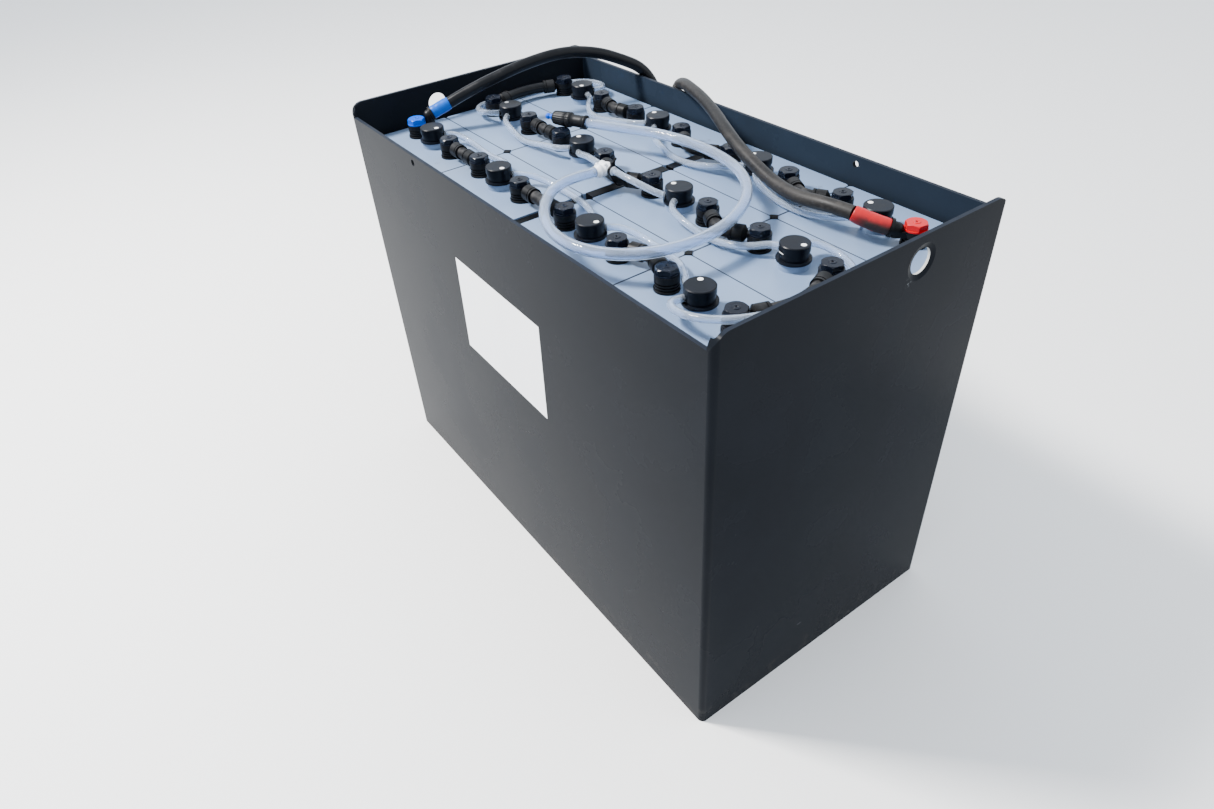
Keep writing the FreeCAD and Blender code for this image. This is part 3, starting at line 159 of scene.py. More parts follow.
def trayPaint():
    look = Look("trayPaint", paintValues["colour"], paintValues["roughness"],
                Specular_IOR_Level=paintValues["gloss"])
    peel = look.noise(paintValues["peel"], 1.5)
    film = look.noise(7, 5).step(0.35, 0.75)
    streaks = look.noise(160, 4, 0.7, (0.35, 0.35, 2.2)).step(0.66, 0.72)
    scratch = look.near(paintValues["scratchAt"], 0.034) * streaks
    corner = look.near(paintValues["cornerAt"], 0.0085) * look.noise(330, 4, 0.7).step(0.56, 0.64)
    rubbed = scratch.calc("MAXIMUM", corner)
    foot = (1 - look.axis(2).step(0.0, 0.05)) * look.noise(60, 5).step(0.5, 0.75) * 0.35
    # Upward top faces of the walls painted lighter and bluer: painted sky reflection along the rim
    rimSkyReflection = look.facing(2).step(0.8, 0.97) * look.axis(2).step(0.6, 0.606) * (look.noise(40, 4) * 0.7 + 0.3)
    # The walls of the two lifting holes, without the faces round them
    inside = 1 - look.facing(0).calc("ABSOLUTE").step(0.3, 0.6)
    right, left = (look.near(paintValues[key], paintValues["holeReach"]) for key in ("rightHole", "leftHole"))
    bare = right.calc("MAXIMUM", left).step(0.02, 0.08) * inside
    # The back wall's inner face over the lids is painted lighter and bluer: painted light on the face turned
    # to the front
    litBackWall = (look.facing(1) * -1).step(0.5, 0.9)
    litBackWall = litBackWall * look.axis(1).step(0.2, 0.21) * look.axis(2).step(0.5, 0.6)
    look.paint((film * 0.35, paintValues["film"]), (litBackWall * (film * 0.3 + 0.7), paintValues["litBackWall"]),
               (foot, paintValues["foot"]), (rimSkyReflection, paintValues["edge"]), (rubbed, paintValues["scuff"]),
               (bare * 0.9, paintValues["bare"]))
    look.rough(film * 0.07 + rubbed * 0.3 + foot * 0.4 + paintValues["roughness"])
    return look.bump(peel, 0.00012, 0.16).material


# Lids: pale blue-grey plastic with a little dust and moulded marks
lidValues = {"colour": (0.158, 0.228, 0.352), "cloud": (0.182, 0.256, 0.386), "roughness": 0.34,
             "dust": (0.18, 0.197, 0.225), "specks": (0.08, 0.08, 0.08), "marks": (0.06, 0.065, 0.075),
             "gap": (0.02, 0.022, 0.027), "columnGap": 0.207, "rowGap": 0.069, "top": 0.571,
             "markPlaces": [(-0.242, -0.167), (-0.035, 0.177), (0.18, 0.108), (0.184, 0.174), (0.227, -0.033),
                            (0.027, -0.036)]}


def lidPlastic():
    look = Look("lidPlastic", lidValues["colour"], lidValues["roughness"])
    cloud = look.noise(9, 5).step(0.3, 0.75)
    dust = look.noise(3.5, 7, 0.62).step(0.5, 0.78)
    specks = look.noise(520, 2, 0.5).step(0.735, 0.76) * look.noise(14, 3).step(0.45, 0.7)
    marks = None
    for x, y in lidValues["markPlaces"]:
        spot = look.near((x, y, lidValues["top"]), 0.007)
        marks = spot if marks is None else marks.calc("MAXIMUM", spot)
    marks = marks.step(0.2, 0.5) * look.noise(480, 2).step(0.5, 0.58)

    # Dark lines along the gaps between the lids: painted shade in the gaps
    def fromGap(index, place):
        return (look.axis(index).calc("ABSOLUTE") - place).calc("ABSOLUTE")

    ragged = look.noise(120, 3) * 0.0006
    columns = 1 - fromGap(0, lidValues["columnGap"]).step(0.0009, 0.0016 + ragged)
    rows = (1 - fromGap(1, lidValues["rowGap"]).step(0.0006, 0.0012 + ragged)) * 0.85
    gap = columns.calc("MAXIMUM", rows)
    look.paint((cloud * 0.5, lidValues["cloud"]), (dust * 0.3, lidValues["dust"]),
               (specks * 0.55, lidValues["specks"]), (marks * 0.7, lidValues["marks"]),
               (gap * 0.9, lidValues["gap"]))
    look.rough(dust * 0.2 + lidValues["roughness"])
    return look.bump(look.noise(1300, 1), 0.00006, 0.25).material


# Hoses: clear plastic with a faint haze
hazeValues = {"roughness": 0.03, "hazeRoughness": 0.08, "transmission": 0.87, "index": 1.3, "dim": 0.93}


def clearHose(name, tint):
    look = Look(name, tint, hazeValues["roughness"], Transmission_Weight=hazeValues["transmission"],
                IOR=hazeValues["index"])
    haze = look.noise(38, 3).step(0.45, 0.8)
    look.paint((haze * 0.6, tuple(v * hazeValues["dim"] for v in tint)))
    look.rough(haze * hazeValues["hazeRoughness"] + hazeValues["roughness"])
    return look.bump(look.noise(90, 1.5), 0.0001, 0.06).material


# Plus cable: worn rubber, streaked along its length and dusty on top
wornValues = {"colour": (0.0095, 0.0093, 0.0096), "streak": (0.034, 0.031, 0.029),
              "fine": (0.062, 0.056, 0.051), "roughness": 0.38, "gloss": 0.16}


def wornCable():
    look = Look("plusCableRubber", wornValues["colour"], wornValues["roughness"],
                Specular_IOR_Level=wornValues["gloss"])
    streak = look.noise(34, 6, 0.62, (0.45, 1.3, 1.3)).step(0.42, 0.72)
    fine = look.noise(260, 4, 0.6).step(0.45, 0.75)
    lying = look.facing(2).step(-0.1, 0.9) * 0.6 + 0.4
    look.paint((streak * lying * 0.8, wornValues["streak"]), (fine * 0.25, wornValues["fine"]))
    look.rough(streak * 0.2 + wornValues["roughness"])
    return look.bump(look.noise(700, 3), 0.00015, 0.4).material


# Red sleeve: heat-shrink film, darker brown on its lower side near the lug
sleeveValues = {"colour": (0.41, 0.002, 0.006), "pale": (0.42, 0.014, 0.014), "darkUnderside": (0.024, 0.015, 0.014),
                "roughness": 0.34, "gloss": 0.3, "darkFrom": 0.302, "darkFull": 0.328}


def redSleeve():
    look = Look("redSleeveFilm", sleeveValues["colour"], sleeveValues["roughness"],
                Specular_IOR_Level=sleeveValues["gloss"])
    nearLug = look.axis(0).step(sleeveValues["darkFrom"], sleeveValues["darkFull"])
    low = (1 - look.facing(2).step(0.05, 1.0)) * nearLug
    darkUnderside = look.noise(95, 5).step(0.22, 0.5) * low
    pale = look.noise(60, 4).step(0.55, 0.8)
    look.paint((pale * 0.35, sleeveValues["pale"]), (darkUnderside, sleeveValues["darkUnderside"]))
    look.rough(darkUnderside * 0.3 + sleeveValues["roughness"])
    return look.bump(look.noise(190, 3), 0.0004, 0.4).material


# Label: bare white film, slightly creased, with painted shade in the creases
labelValues = {"colour": (0.9, 0.915, 0.94), "creaseShade": (0.84, 0.855, 0.89), "roughness": 0.3}


def labelFilm():
    look = Look("labelFilm", labelValues["colour"], labelValues["roughness"])
    # Darker patches: painted shade in the creases
    creaseShade = look.noise(16, 4, 0.5, (1, 1, 0.3)).step(0.4, 0.7)
    look.paint((creaseShade * 0.5, labelValues["creaseShade"]))
    return look.bump(look.noise(30, 3), 0.0006, 0.3).material


# Clean plastic or metal, a little cloudy
def plainLook(name, colour, roughness, grain=700, scale=60, vary=0.25, **constants):
    look = Look(name, colour, roughness, **constants)
    cloud = look.noise(scale, 4).step(0.3, 0.75)
    look.paint((cloud * vary, tuple(min(1.0, v * 1.5 + 0.01) for v in colour)))
    look.rough(cloud * 0.1 + roughness)
    return look.bump(look.noise(grain, 2), 0.0001, 0.3).material


rubberDust = (0.033, 0.0332, 0.0355)
materials = {
    "tray_paint": trayPaint(),
    "lid_plastic": lidPlastic(),
    "jar_plastic": plainLook("jarPlastic", (0.3, 0.34, 0.38), 0.5),
    "indicator_white": plainLook("indicatorPlastic", (0.86, 0.86, 0.84), 0.3),
    "lead": plainLook("castLead", (0.14, 0.14, 0.155), 0.55, 300, 90, Metallic=1.0),
    "separator_sheet": plainLook("separatorSheet", (0.22, 0.15, 0.1), 0.7),
    "packing_plastic": plainLook("packingPlastic", (0.02, 0.02, 0.022), 0.5),
    "plug_plastic": dusty("plugPlastic", (0.0022, 0.003, 0.0054), 0.32, (0.0115, 0.0165, 0.027), 0.32,
                          Specular_IOR_Level=0.14),
    "bolt_plastic": dusty("boltPlastic", (0.0022, 0.0036, 0.008), 0.24, (0.0145, 0.0195, 0.0325), 0.3,
                          Specular_IOR_Level=0.18),
    "boot_rubber": dusty("bootRubber", (0.0026, 0.0028, 0.0034), 0.38, rubberDust, 0.45,
                         Specular_IOR_Level=0.15),
    "link_rubber": dusty("linkRubber", (0.0062, 0.0064, 0.0072), 0.46, (0.05, 0.0485, 0.049), 0.7, scale=110,
                         Specular_IOR_Level=0.15),
    "cable_rubber": dusty("minusCableRubber", (0.0026, 0.003, 0.0042), 0.3, (0.014, 0.0145, 0.0165), 0.4,
                          Specular_IOR_Level=0.16),
    "plus_rubber": wornCable(),
    "blue_plastic": plainLook("bluePlastic", (0.0, 0.075, 0.5), 0.28, vary=0.0, Specular_IOR_Level=0.16),
    "red_plastic": plainLook("redPlastic", (0.46, 0.0, 0.005), 0.28, vary=0.06, Specular_IOR_Level=0.3),
    "blue_sleeve": dusty("blueSleeveFilm", (0.0, 0.068, 0.36), 0.36, (0.003, 0.075, 0.28), 0.4,
                         Specular_IOR_Level=0.16),
    "red_sleeve": redSleeve(),
    "hose_clear": clearHose("clearHose", (0.77, 0.86, 0.985)),
    "supply_clear": clearHose("supplyHoseClear", (0.71, 0.815, 0.98)),
    "tee_white": plainLook("teePlastic", (0.82, 0.84, 0.88), 0.32, vary=0.05),
    "trim_black": dusty("trimPlastic", (0.0016, 0.0018, 0.0024), 0.4, (0.008, 0.0085, 0.01), 0.25,
                        Specular_IOR_Level=0.12),
    "coupling_black": dusty("couplingPlastic", (0.003, 0.0034, 0.0044), 0.4, (0.02, 0.0215, 0.025), 0.4,
                            scale=80, Specular_IOR_Level=0.18),
    "label_white": labelFilm(),
    "plug_housing": plainLook("housingPlastic", (0.16, 0.17, 0.185), 0.45),
    "contact_copper": plainLook("contactCopper", (0.72, 0.43, 0.26), 0.25, Metallic=1.0),
}
# Nodes whose look differs from what their slot names
nodeLooks = {"connector_cables": "link_rubber", "coupling_body": "coupling_black"}
slots = {part["node"]: part["material_slot"] for part in frame["record"]["subparts"]}
for name, node in nodes.items():
    for place in node.material_slots:
        place.material = materials[nodeLooks.get(name, slots[name])]
print("materials")


# Shapes
def addPiece(name, mesh, slotName, body="battery", material=None, stands=()):
    piece = bpy.data.objects.new(name, mesh)
    bpy.context.collection.objects.link(piece)
    mesh.materials.append(materials[material or slotName])
    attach(piece, body)
    if stands:
        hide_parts(*stands)
    return piece


def meshOf(name, points, faces, smooth=True):
    mesh = bpy.data.meshes.new(name)
    mesh.from_pydata([tuple(p) for p in points], [], faces)
    mesh.validate()
    for face in mesh.polygons:
        face.use_smooth = smooth
    return mesh


def joined(name, parts, smooth=True):
    points, faces = [], []
    for morePoints, moreFaces in parts:
        start = len(points)
        points += morePoints
        faces += [[index + start for index in face] for face in moreFaces]
    return meshOf(name, points, faces, smooth)


def nurbsCurve(name, route):
    curve = bpy.data.curves.new(name, "CURVE")
    curve.dimensions = "3D"
    curve.resolution_u = 8
    spline = curve.splines.new("NURBS")
    spline.points.add(len(route) - 1)
    for point, spot in zip(spline.points, route):
        point.co = (*(v * mm for v in spot), 1)
    spline.order_u = 3
    spline.use_endpoint_u = True
    return curve


def linePoints(route):
    curve = nurbsCurve("line", route)
    carrier = bpy.data.objects.new("line", curve)
    mesh = bpy.data.meshes.new_from_object(carrier)
    points = [vertex.co.copy() for vertex in mesh.vertices]
    bpy.data.objects.remove(carrier)
    bpy.data.meshes.remove(mesh)
    bpy.data.curves.remove(curve)
    return points


def frames(points):
    across = None
    for index, point in enumerate(points):
        ahead = points[min(index + 1, len(points) - 1)] - points[max(index - 1, 0)]
        ahead.normalize()
        if across is None:
            across = ahead.orthogonal().normalized()
        across = (across - ahead * across.dot(ahead)).normalized()
        yield point, across, ahead.cross(across)


# Ring by ring along the points; radius is a number or a function of (share, angle)
def tube(points, radius, sides=20, inner=None):
    width = radius if callable(radius) else lambda share, angle: radius
    rings, faces = [], []
    count = len(points)
    layers = [(width, False)] + ([(lambda share, angle: inner, True)] if inner else [])
    turns = [2 * math.pi * k / sides for k in range(sides)]
    for spread, flipped in layers:
        start = len(rings)
        for index, (point, across, up) in enumerate(frames(points)):
            share = index / (count - 1)
            for turn in turns:
                out = across * math.cos(turn) + up * math.sin(turn)
                rings.append(point + out * spread(share, turn))
        for row in range(count - 1):
            for k in range(sides):
                a = start + row * sides + k
                b = start + row * sides + (k + 1) % sides
                face = [a, b, b + sides, a + sides]
                faces.append(face[::-1] if flipped else face)
        if not inner:
            faces.append([start + k for k in reversed(range(sides))])
            faces.append([start + (count - 1) * sides + k for k in range(sides)])
    if inner:
        other = count * sides
        for end in (0, count - 1):
            for k in range(sides):
                a, b = end * sides + k, end * sides + (k + 1) % sides
                face = [a, b, b + other, a + other]
                faces.append(face[::-1] if end == 0 else face)
    return rings, faces


# A turned form: profile is (distance along, radius) in millimetres
def lathe(start, direction, profile, sides=40, flute=None):
    ahead = Vector(direction).normalized()
    across = ahead.orthogonal().normalized()
    up = ahead.cross(across)
    points, faces = [], []
    for along, radius in profile:
        centre = Vector(start) * mm + ahead * along * mm
        for k in range(sides):
            turn = 2 * math.pi * k / sides
            size = radius * (1 + (flute(along, turn) if flute else 0))
            points.append(centre + (across * math.cos(turn) + up * math.sin(turn)) * size * mm)
    for row in range(len(profile) - 1):
        for k in range(sides):
            a, b = row * sides + k, row * sides + (k + 1) % sides
            faces.append([a, b, b + sides, a + sides])
    faces.append([k for k in reversed(range(sides))])
    faces.append([(len(profile) - 1) * sides + k for k in range(sides)])
    return points, faces


# Camera
cameraValues = {"place": (0.8746, -0.6411, 1.05), "azimuth": -56.363, "elevation": 38.558, "roll": -3.833,
                "lens": 24.959, "sensor": 36}


def addCamera():
    az, el, roll = (math.radians(cameraValues[key]) for key in ("azimuth", "elevation", "roll"))
    ahead = Vector((math.sin(az) * math.cos(el), math.cos(az) * math.cos(el), -math.sin(el)))
    right = ahead.cross(Vector((0, 0, 1))).normalized()
    up = right.cross(ahead)
    turnedRight = right * math.cos(roll) + up * math.sin(roll)
    turnedUp = up * math.cos(roll) - right * math.sin(roll)
    data = bpy.data.cameras.new("camera")
    data.lens = cameraValues["lens"]
    data.sensor_width = cameraValues["sensor"]
    camera = bpy.data.objects.new("camera", data)
    rows = zip(turnedRight, turnedUp, -ahead, cameraValues["place"])
    camera.matrix_world = Matrix([*rows, (0, 0, 0, 1)])
    bpy.context.collection.objects.link(camera)
    bpy.context.scene.camera = camera


addCamera()
print("camera")

# Battery cables, from the lugs over the back rim to the plug on the floor
minusSleeve = [(-356, -112, 602), (-353.2, -98.5, 607.2), (-348.8, -84, 612.5)]
minusRoute = [
    (-348.8, -84, 612.5), (-340, -56, 624.5), (-325, -10, 640), (-309, 46, 655), (-295, 102, 661),
    (-281, 154, 652), (-266, 193, 635), (-253, 222, 619), (-245, 243, 586), (-239, 254, 533),
    (-234, 260, 445), (-228, 262, 330), (-217, 261, 215), (-194, 257, 115), (-150, 250, 50),
    (-92, 245, 23), (-36, 244, 20),
]
plusSleeve = [(341.5, 116, 592.5), (327, 103.5, 597), (306, 93.5, 604.5)]
plusRoute = [
    (306, 93.5, 604.5), (277, 87, 606.5), (232, 84, 601), (186, 94, 598), (142, 104, 603),
    (92, 117, 611.5), (43, 136.5, 618.8), (-8, 160.5, 624), (-57, 181, 627), (-103, 198, 626.5),
    (-141, 216, 621.5), (-176, 234, 606), (-202, 248, 573), (-212, 259, 523), (-209, 267, 440),
    (-199, 272, 330), (-184, 275, 225), (-160, 276, 130), (-118, 273, 62), (-70, 269, 29), (-36, 268, 20),
]
cableValues = {"radius": 8.75, "sleeve": 10.0, "minusLength": 1.045, "plusLength": 1.18}


def sleeveTube(route, seed):
    line = linePoints(route)
    size = cableValues["sleeve"] * mm

    def spread(share, turn):
        ends = 1 - 0.07 * math.exp(-share * 14) - 0.08 * math.exp(-(1 - share) * 12)
        spot = Vector((share * 5, math.cos(turn) * 1.1 + seed, math.sin(turn) * 1.1))
        return size * ends * (1 + 0.035 * noise.noise(spot) + 0.012 * noise.noise(spot * 4))

    fine = []
    for first, second in zip(line, line[1:]):
        fine += [first.lerp(second, k / 3) for k in range(3)]
    return tube(fine + [line[-1]], spread, 32)


def addCable(name, route, sleeve, material):
    curve = nurbsCurve(name, route)
    curve.bevel_depth = cableValues["radius"] * mm
    curve.bevel_resolution = 6
    curve.use_fill_caps = True
    curve.materials.append(materials[material])
    cable = bpy.data.objects.new(name, curve)
    bpy.context.collection.objects.link(cable)
    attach(cable, "battery")
    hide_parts(name + "_cable")
    seed = 3.0 if name == "minus" else 9.0
    addPiece(name + "Sleeve", joined(name + "Sleeve", [sleeveTube(sleeve, seed)]),
             "blue_sleeve" if name == "minus" else "red_sleeve", stands=[name + "_sleeve"])


addCable("minus", minusRoute, minusSleeve, "cable_rubber")
addCable("plus", plusRoute, plusSleeve, "plus_rubber")
print("battery cables")

# Supply hose: a loop over the cells that ends in its coupling
supplyRoute = [
    (-1, -53, 600), (-2, -76, 601.5), (6, -110, 604.5), (28, -145, 606.8), (70, -179, 607.5),
    (122, -200, 607.5), (176, -196, 607.5), (218, -165, 607), (240, -115, 607), (242, -60, 607.5),
    (224, -7, 608), (190, 41, 608), (141, 75, 608), (84, 90, 608), (22, 91, 608), (-38, 76, 608.5),
    (-91, 48, 608.5), (-134.4, 28, 609.3),
]
supplyValues = {"outer": 7.0, "inner": 5.0, "length": 0.882}
couplingValues = {"ribs": 22, "ribDepth": 0.03, "lumps": 5}


def addCoupling():
    end, before = (Vector(supplyRoute[k]) for k in (-1, -2))
    along = (end - before).normalized()
    cuff = [(0, 8.4), (0.4, 9.9), (2.6, 10.2), (3.2, 9.9), (3.6, 9.0), (10, 8.7), (18, 8.5), (24.5, 8.6),
            (25, 9.2)]
    grip = [(25.6, 10.2), (27, 10.8), (31.5, 10.8), (32.2, 10.1), (33, 10.1), (33.6, 10.6), (40, 10.3)]
    nose = [(46, 9.9), (52, 9.5), (54.6, 9.2), (56, 7.9), (56, 3)]

    def ribs(distance, turn):
        onGrip = 26 < distance < 54 and not 32 < distance < 33.3
        return couplingValues["ribDepth"] * math.cos(turn * couplingValues["ribs"]) if onGrip else 0

    bodyMesh = joined("couplingBody", [lathe(end, along, cuff + grip + nose, 88, ribs)])
    bodyPiece = addPiece("couplingBody", bodyMesh, "trim_black", material="coupling_black",
                         stands=["coupling_body"])
    tip = [(0, 3.1), (0.5, 4.2), (3.6, 4.3), (4.4, 3.2), (7.6, 3.1), (8.4, 4.2), (11.5, 4.1), (13.2, 3.3),
           (14, 1.6)]

    def lumps(distance, turn):
        return 0.07 * math.cos(turn * couplingValues["lumps"]) if 1 < distance < 13 else 0

    tipMesh = joined("couplingTip", [lathe(end + along * 56, along, tip, 30, lumps)])
    tipPiece = addPiece("couplingTip", tipMesh, "blue_plastic", stands=["coupling_tip"])
    return [bodyPiece, tipPiece]


def addSupplyHose():
    line = linePoints(supplyRoute)
    mesh = joined("supplyHose", [tube(line, supplyValues["outer"] * mm, 28, supplyValues["inner"] * mm)])
    hose = addPiece("supplyHose", mesh, "hose_clear", material="supply_clear", stands=["supply_hose"])
    [tuple(p) for p in line]
    addCoupling()


addSupplyHose()
print("supply hose")


# Water hoses: clear tubes from nipple to nipple, on the same routes as the solids
cellX = {"1": -306.5, "2": -107.5, "3": 107.5, "4": 306.5}
cellY = {"f": -138.0, "m": 0.0, "b": 138.0}
nippleTurns = dict(f1=95, f2=91, f3=102, f4=208, m1=270, m2=270, m3=262, m4=142,
                   b1=30, b2=266, b3=268, b4=276)
teeCentre = (-1.0, -33.0, 600.0)
hoseValues = {"outer": 4.5, "inner": 3.2, "height": 587.4, "spread": 38, "reach": 20, "push": 2.6,
              "teeArm": 15, "teePush": 3}
hoseRoutes = {
    "water_hoses_front": [
        (("f1", -1), ("f2", 1), [
            (-287.2, -110.7, 586.6), (-275.8, -104, 583.9), (-263, -100.7, 581), (-249.6, -99.4, 578.8),
            (-236.1, -99.5, 577.4), (-222.6, -100.3, 576.8), (-209.1, -101.4, 577.1),
            (-195.6, -102.6, 578), (-182.1, -103.6, 579.5), (-168.7, -104.5, 581.4),
            (-155.4, -105.5, 583.5), (-142.1, -107.8, 585.5), (-129.8, -113.1, 587),
        ]),
        (("f2", -1), ("f3", 1), [
            (-86.6, -111.3, 586.6), (-76.2, -102.4, 584.3), (-64.2, -95.9, 581.6), (-51.1, -91.6, 579.3),
            (-37.5, -89, 577.5), (-23.7, -87.7, 576.4), (-9.8, -87.6, 576), (4.2, -88.5, 576.2),
            (17.9, -90.4, 576.9), (31.5, -93.5, 578.3), (44.6, -97.6, 580.3), (57.4, -102.8, 582.6),
            (69.6, -109.1, 585), (81.2, -116.5, 586.9),
        ]),
        (("f3", -1), ("f4", -1), [
            (123.8, -108.8, 586.7), (135.1, -101.6, 584.4), (147.9, -97.6, 581.8), (161.2, -95.4, 579.6),
            (174.8, -94.4, 578), (188.4, -94.4, 577.1), (202.1, -95.3, 576.9), (215.5, -97.5, 577.5),
            (228.6, -101.2, 578.8), (241, -106.7, 580.7), (252.4, -113.9, 583), (263, -122.2, 585.2),
            (274, -130.2, 586.9),
        ]),
    ],
    "water_hoses_middle": [
        (("m1", 1), ("m2", -1), [
            (-283.5, -24.8, 586.7), (-270, -28.7, 584.7), (-256.2, -30.9, 582.2), (-242.2, -32.8, 580),
            (-228.2, -34.6, 578.5), (-214, -35.7, 578), (-199.8, -35.4, 578.7), (-185.8, -33.8, 580.2),
            (-171.8, -32, 582.3), (-157.8, -30.6, 584.3), (-143.8, -29.2, 585.9), (-130.2, -25.2, 587.1),
        ]),
        (("m2", 1), (-1, "tee"), [
            (-84.5, -18.9, 589.8), (-73, -20.6, 592.5), (-59.2, -24.2, 595.8), (-45.4, -28.4, 598.4),
            (-31, -31.4, 599.8),
        ]),
        (("m3", -1), (1, "tee"), [
            (80, -21.4, 591.2), (66.6, -26.4, 595), (53, -30, 597.7), (39.8, -32.2, 599.2),
            (26.8, -33, 599.9),
        ]),
        (("m3", 1), ("m4", 1), [
            (126.8, -28.1, 586.7), (140.1, -32.9, 584.6), (154.3, -34.5, 582.2), (168.6, -34.9, 580.2),
            (183, -35.1, 578.7), (197.4, -35.3, 578), (211.8, -34.9, 578.3), (226.1, -33.4, 579.4),
            (240.1, -30.4, 581.1), (253.3, -24.9, 583.2), (264.7, -16.4, 585.3), (273.8, -5.3, 586.8),
        ]),
    ],
    "water_hoses_back": [
        (("b1", -1), ("b2", -1), [
            (-273.9, 130.2, 586.6), (-263.9, 120.7, 584.3), (-253.2, 112, 581.7), (-241.1, 105.5, 579.5),
            (-227.7, 101.7, 578.2), (-213.8, 100.5, 577.9), (-199.8, 101.4, 578.5), (-186, 103.5, 579.9),
            (-172.4, 106.1, 581.8), (-158.7, 108.4, 583.8), (-145, 110.5, 585.6), (-131.7, 114.4, 587),
        ]),
        (("b2", 1), ("b3", -1), [
            (-87.1, 111, 586.8), (-75, 104.5, 584.8), (-62, 99.9, 582.4), (-48.7, 96.1, 580.4),
            (-35.2, 93, 578.7), (-21.4, 90.5, 577.5), (-7.6, 88.9, 576.9), (6.4, 88.5, 577),
            (20.3, 89.6, 577.6), (34, 91.9, 578.9), (47.4, 95.4, 580.7), (60.5, 99.8, 583),
            (73.2, 105.3, 585.2), (84.9, 112.8, 586.9),
        ]),
        (("b3", 1), ("b4", -1), [
            (128.5, 111.7, 586.7), (140.4, 105.1, 584.4), (153.3, 100.9, 581.8), (166.7, 98.3, 579.6),
            (180.3, 96.7, 577.8), (194.1, 95.7, 576.8), (207.9, 95.2, 576.4), (221.7, 95.3, 576.8),
            (235.5, 95.9, 577.9), (249.1, 97.2, 579.7), (262.5, 99.5, 582.1), (275.5, 103.6, 584.7),
            (287.2, 110.4, 586.8),
        ]),
    ],
    "water_hoses_ends": [
        (("f4", 1), ("m4", -1), [
            (297.2, -169.7, 588.1), (308, -178.2, 590.1), (321.5, -181.4, 592.5), (335.4, -181.2, 594.8),
            (349, -177.8, 596.9), (361.4, -171.4, 598.7), (372.1, -162.4, 599.9), (380.6, -151.2, 600.5),
            (387.1, -138.6, 600.5), (391.6, -125.2, 599.9), (394.6, -111.5, 598.8),
            (396.6, -97.6, 597.3), (397.7, -83.6, 595.5), (398.3, -69.6, 593.3), (398.3, -55.7, 591),
            (397.8, -41.8, 588.6), (396.5, -27.9, 586.2), (394.2, -14.2, 583.9), (390.4, -0.8, 581.7),
            (384.7, 12, 579.8), (376.6, 23.5, 578.5), (366.1, 32.9, 578), (353.7, 39.6, 578.5),
            (340.2, 43.3, 579.8), (326.3, 44.1, 581.8), (312.7, 41.5, 584.3), (301.9, 33.1, 586.7),
        ]),
        (("m1", -1), ("b1", 1), [
            (-328.6, -25.5, 587.2), (-341.5, -30.6, 586.4), (-355.2, -30.6, 585.2),
            (-368.3, -26.1, 583.8), (-379.3, -17.8, 582.3), (-387.7, -6.9, 580.8), (-393.3, 5.8, 579.4),
            (-396.5, 19.2, 578.3), (-398.2, 33, 577.3), (-399.1, 46.9, 576.7), (-399.4, 60.8, 576.3),
            (-399.6, 74.7, 576), (-399.7, 88.6, 575.9), (-399.6, 102.5, 575.9), (-399, 116.4, 576.1),
            (-397.6, 130.2, 576.4), (-394.8, 143.8, 576.8), (-389.9, 156.8, 577.5),
            (-382.3, 168.4, 578.4), (-372.1, 177.7, 579.6), (-359.8, 184.1, 580.9),
            (-346.4, 187.4, 582.3), (-332.6, 187.9, 583.6), (-319, 185.7, 585), (-306.3, 180.2, 586.2),
            (-297.3, 170, 587.1),
        ]),
    ],
}


def cellPlace(cell, height):
    return Vector((cellX[cell[1]], cellY[cell[0]], height))


# The points where a hose is pushed on, and where its nipple or tee arm ends
def hoseEnd(cell, which):
    if which == "tee":
        tip = Vector(teeCentre) + Vector((cell * hoseValues["teeArm"], 0, 0))
        return tip - Vector((cell * hoseValues["teePush"], 0, 0)), tip
    turn = math.radians(nippleTurns[cell] + which * hoseValues["spread"])
    out = Vector((math.cos(turn), math.sin(turn), 0))
    middle = cellPlace(cell, hoseValues["height"])
    return middle + out * (hoseValues["reach"] - hoseValues["push"]), middle + out * hoseValues["reach"]


def addWaterHoses():
    for node, routes in hoseRoutes.items():
        tubes = []
        for start, end, middle in routes:
            foot, first = hoseEnd(*start)
            heel, last = hoseEnd(*end)
            line = linePoints([foot, first, *middle, last, heel])
            wide = hoseValues["outer"] * mm

            def spread(share, turn, wide=wide, count=len(line)):
                ends = math.exp(-share * count * 0.35) + math.exp(-(1 - share) * count * 0.35)
                return wide * (1 + 0.07 * ends)

            tubes.append(tube(line, spread, 22, hoseValues["inner"] * mm))
        name = "waterHoses" + node.rsplit("_", 1)[1].capitalize()
        addPiece(name, joined(name, tubes), "hose_clear", stands=[node])


addWaterHoses()
print("water hoses")


# Tee: lumpy white moulding with barbed arms and two clamp rings with ears
teeValues = {"arm": 6.0, "armLength": 15, "barb": 0.5, "branch": 7.6, "ring": 9.2, "lump": 0.06,
             "ears": ((6.1, 0.5), (14.1, -0.35))}


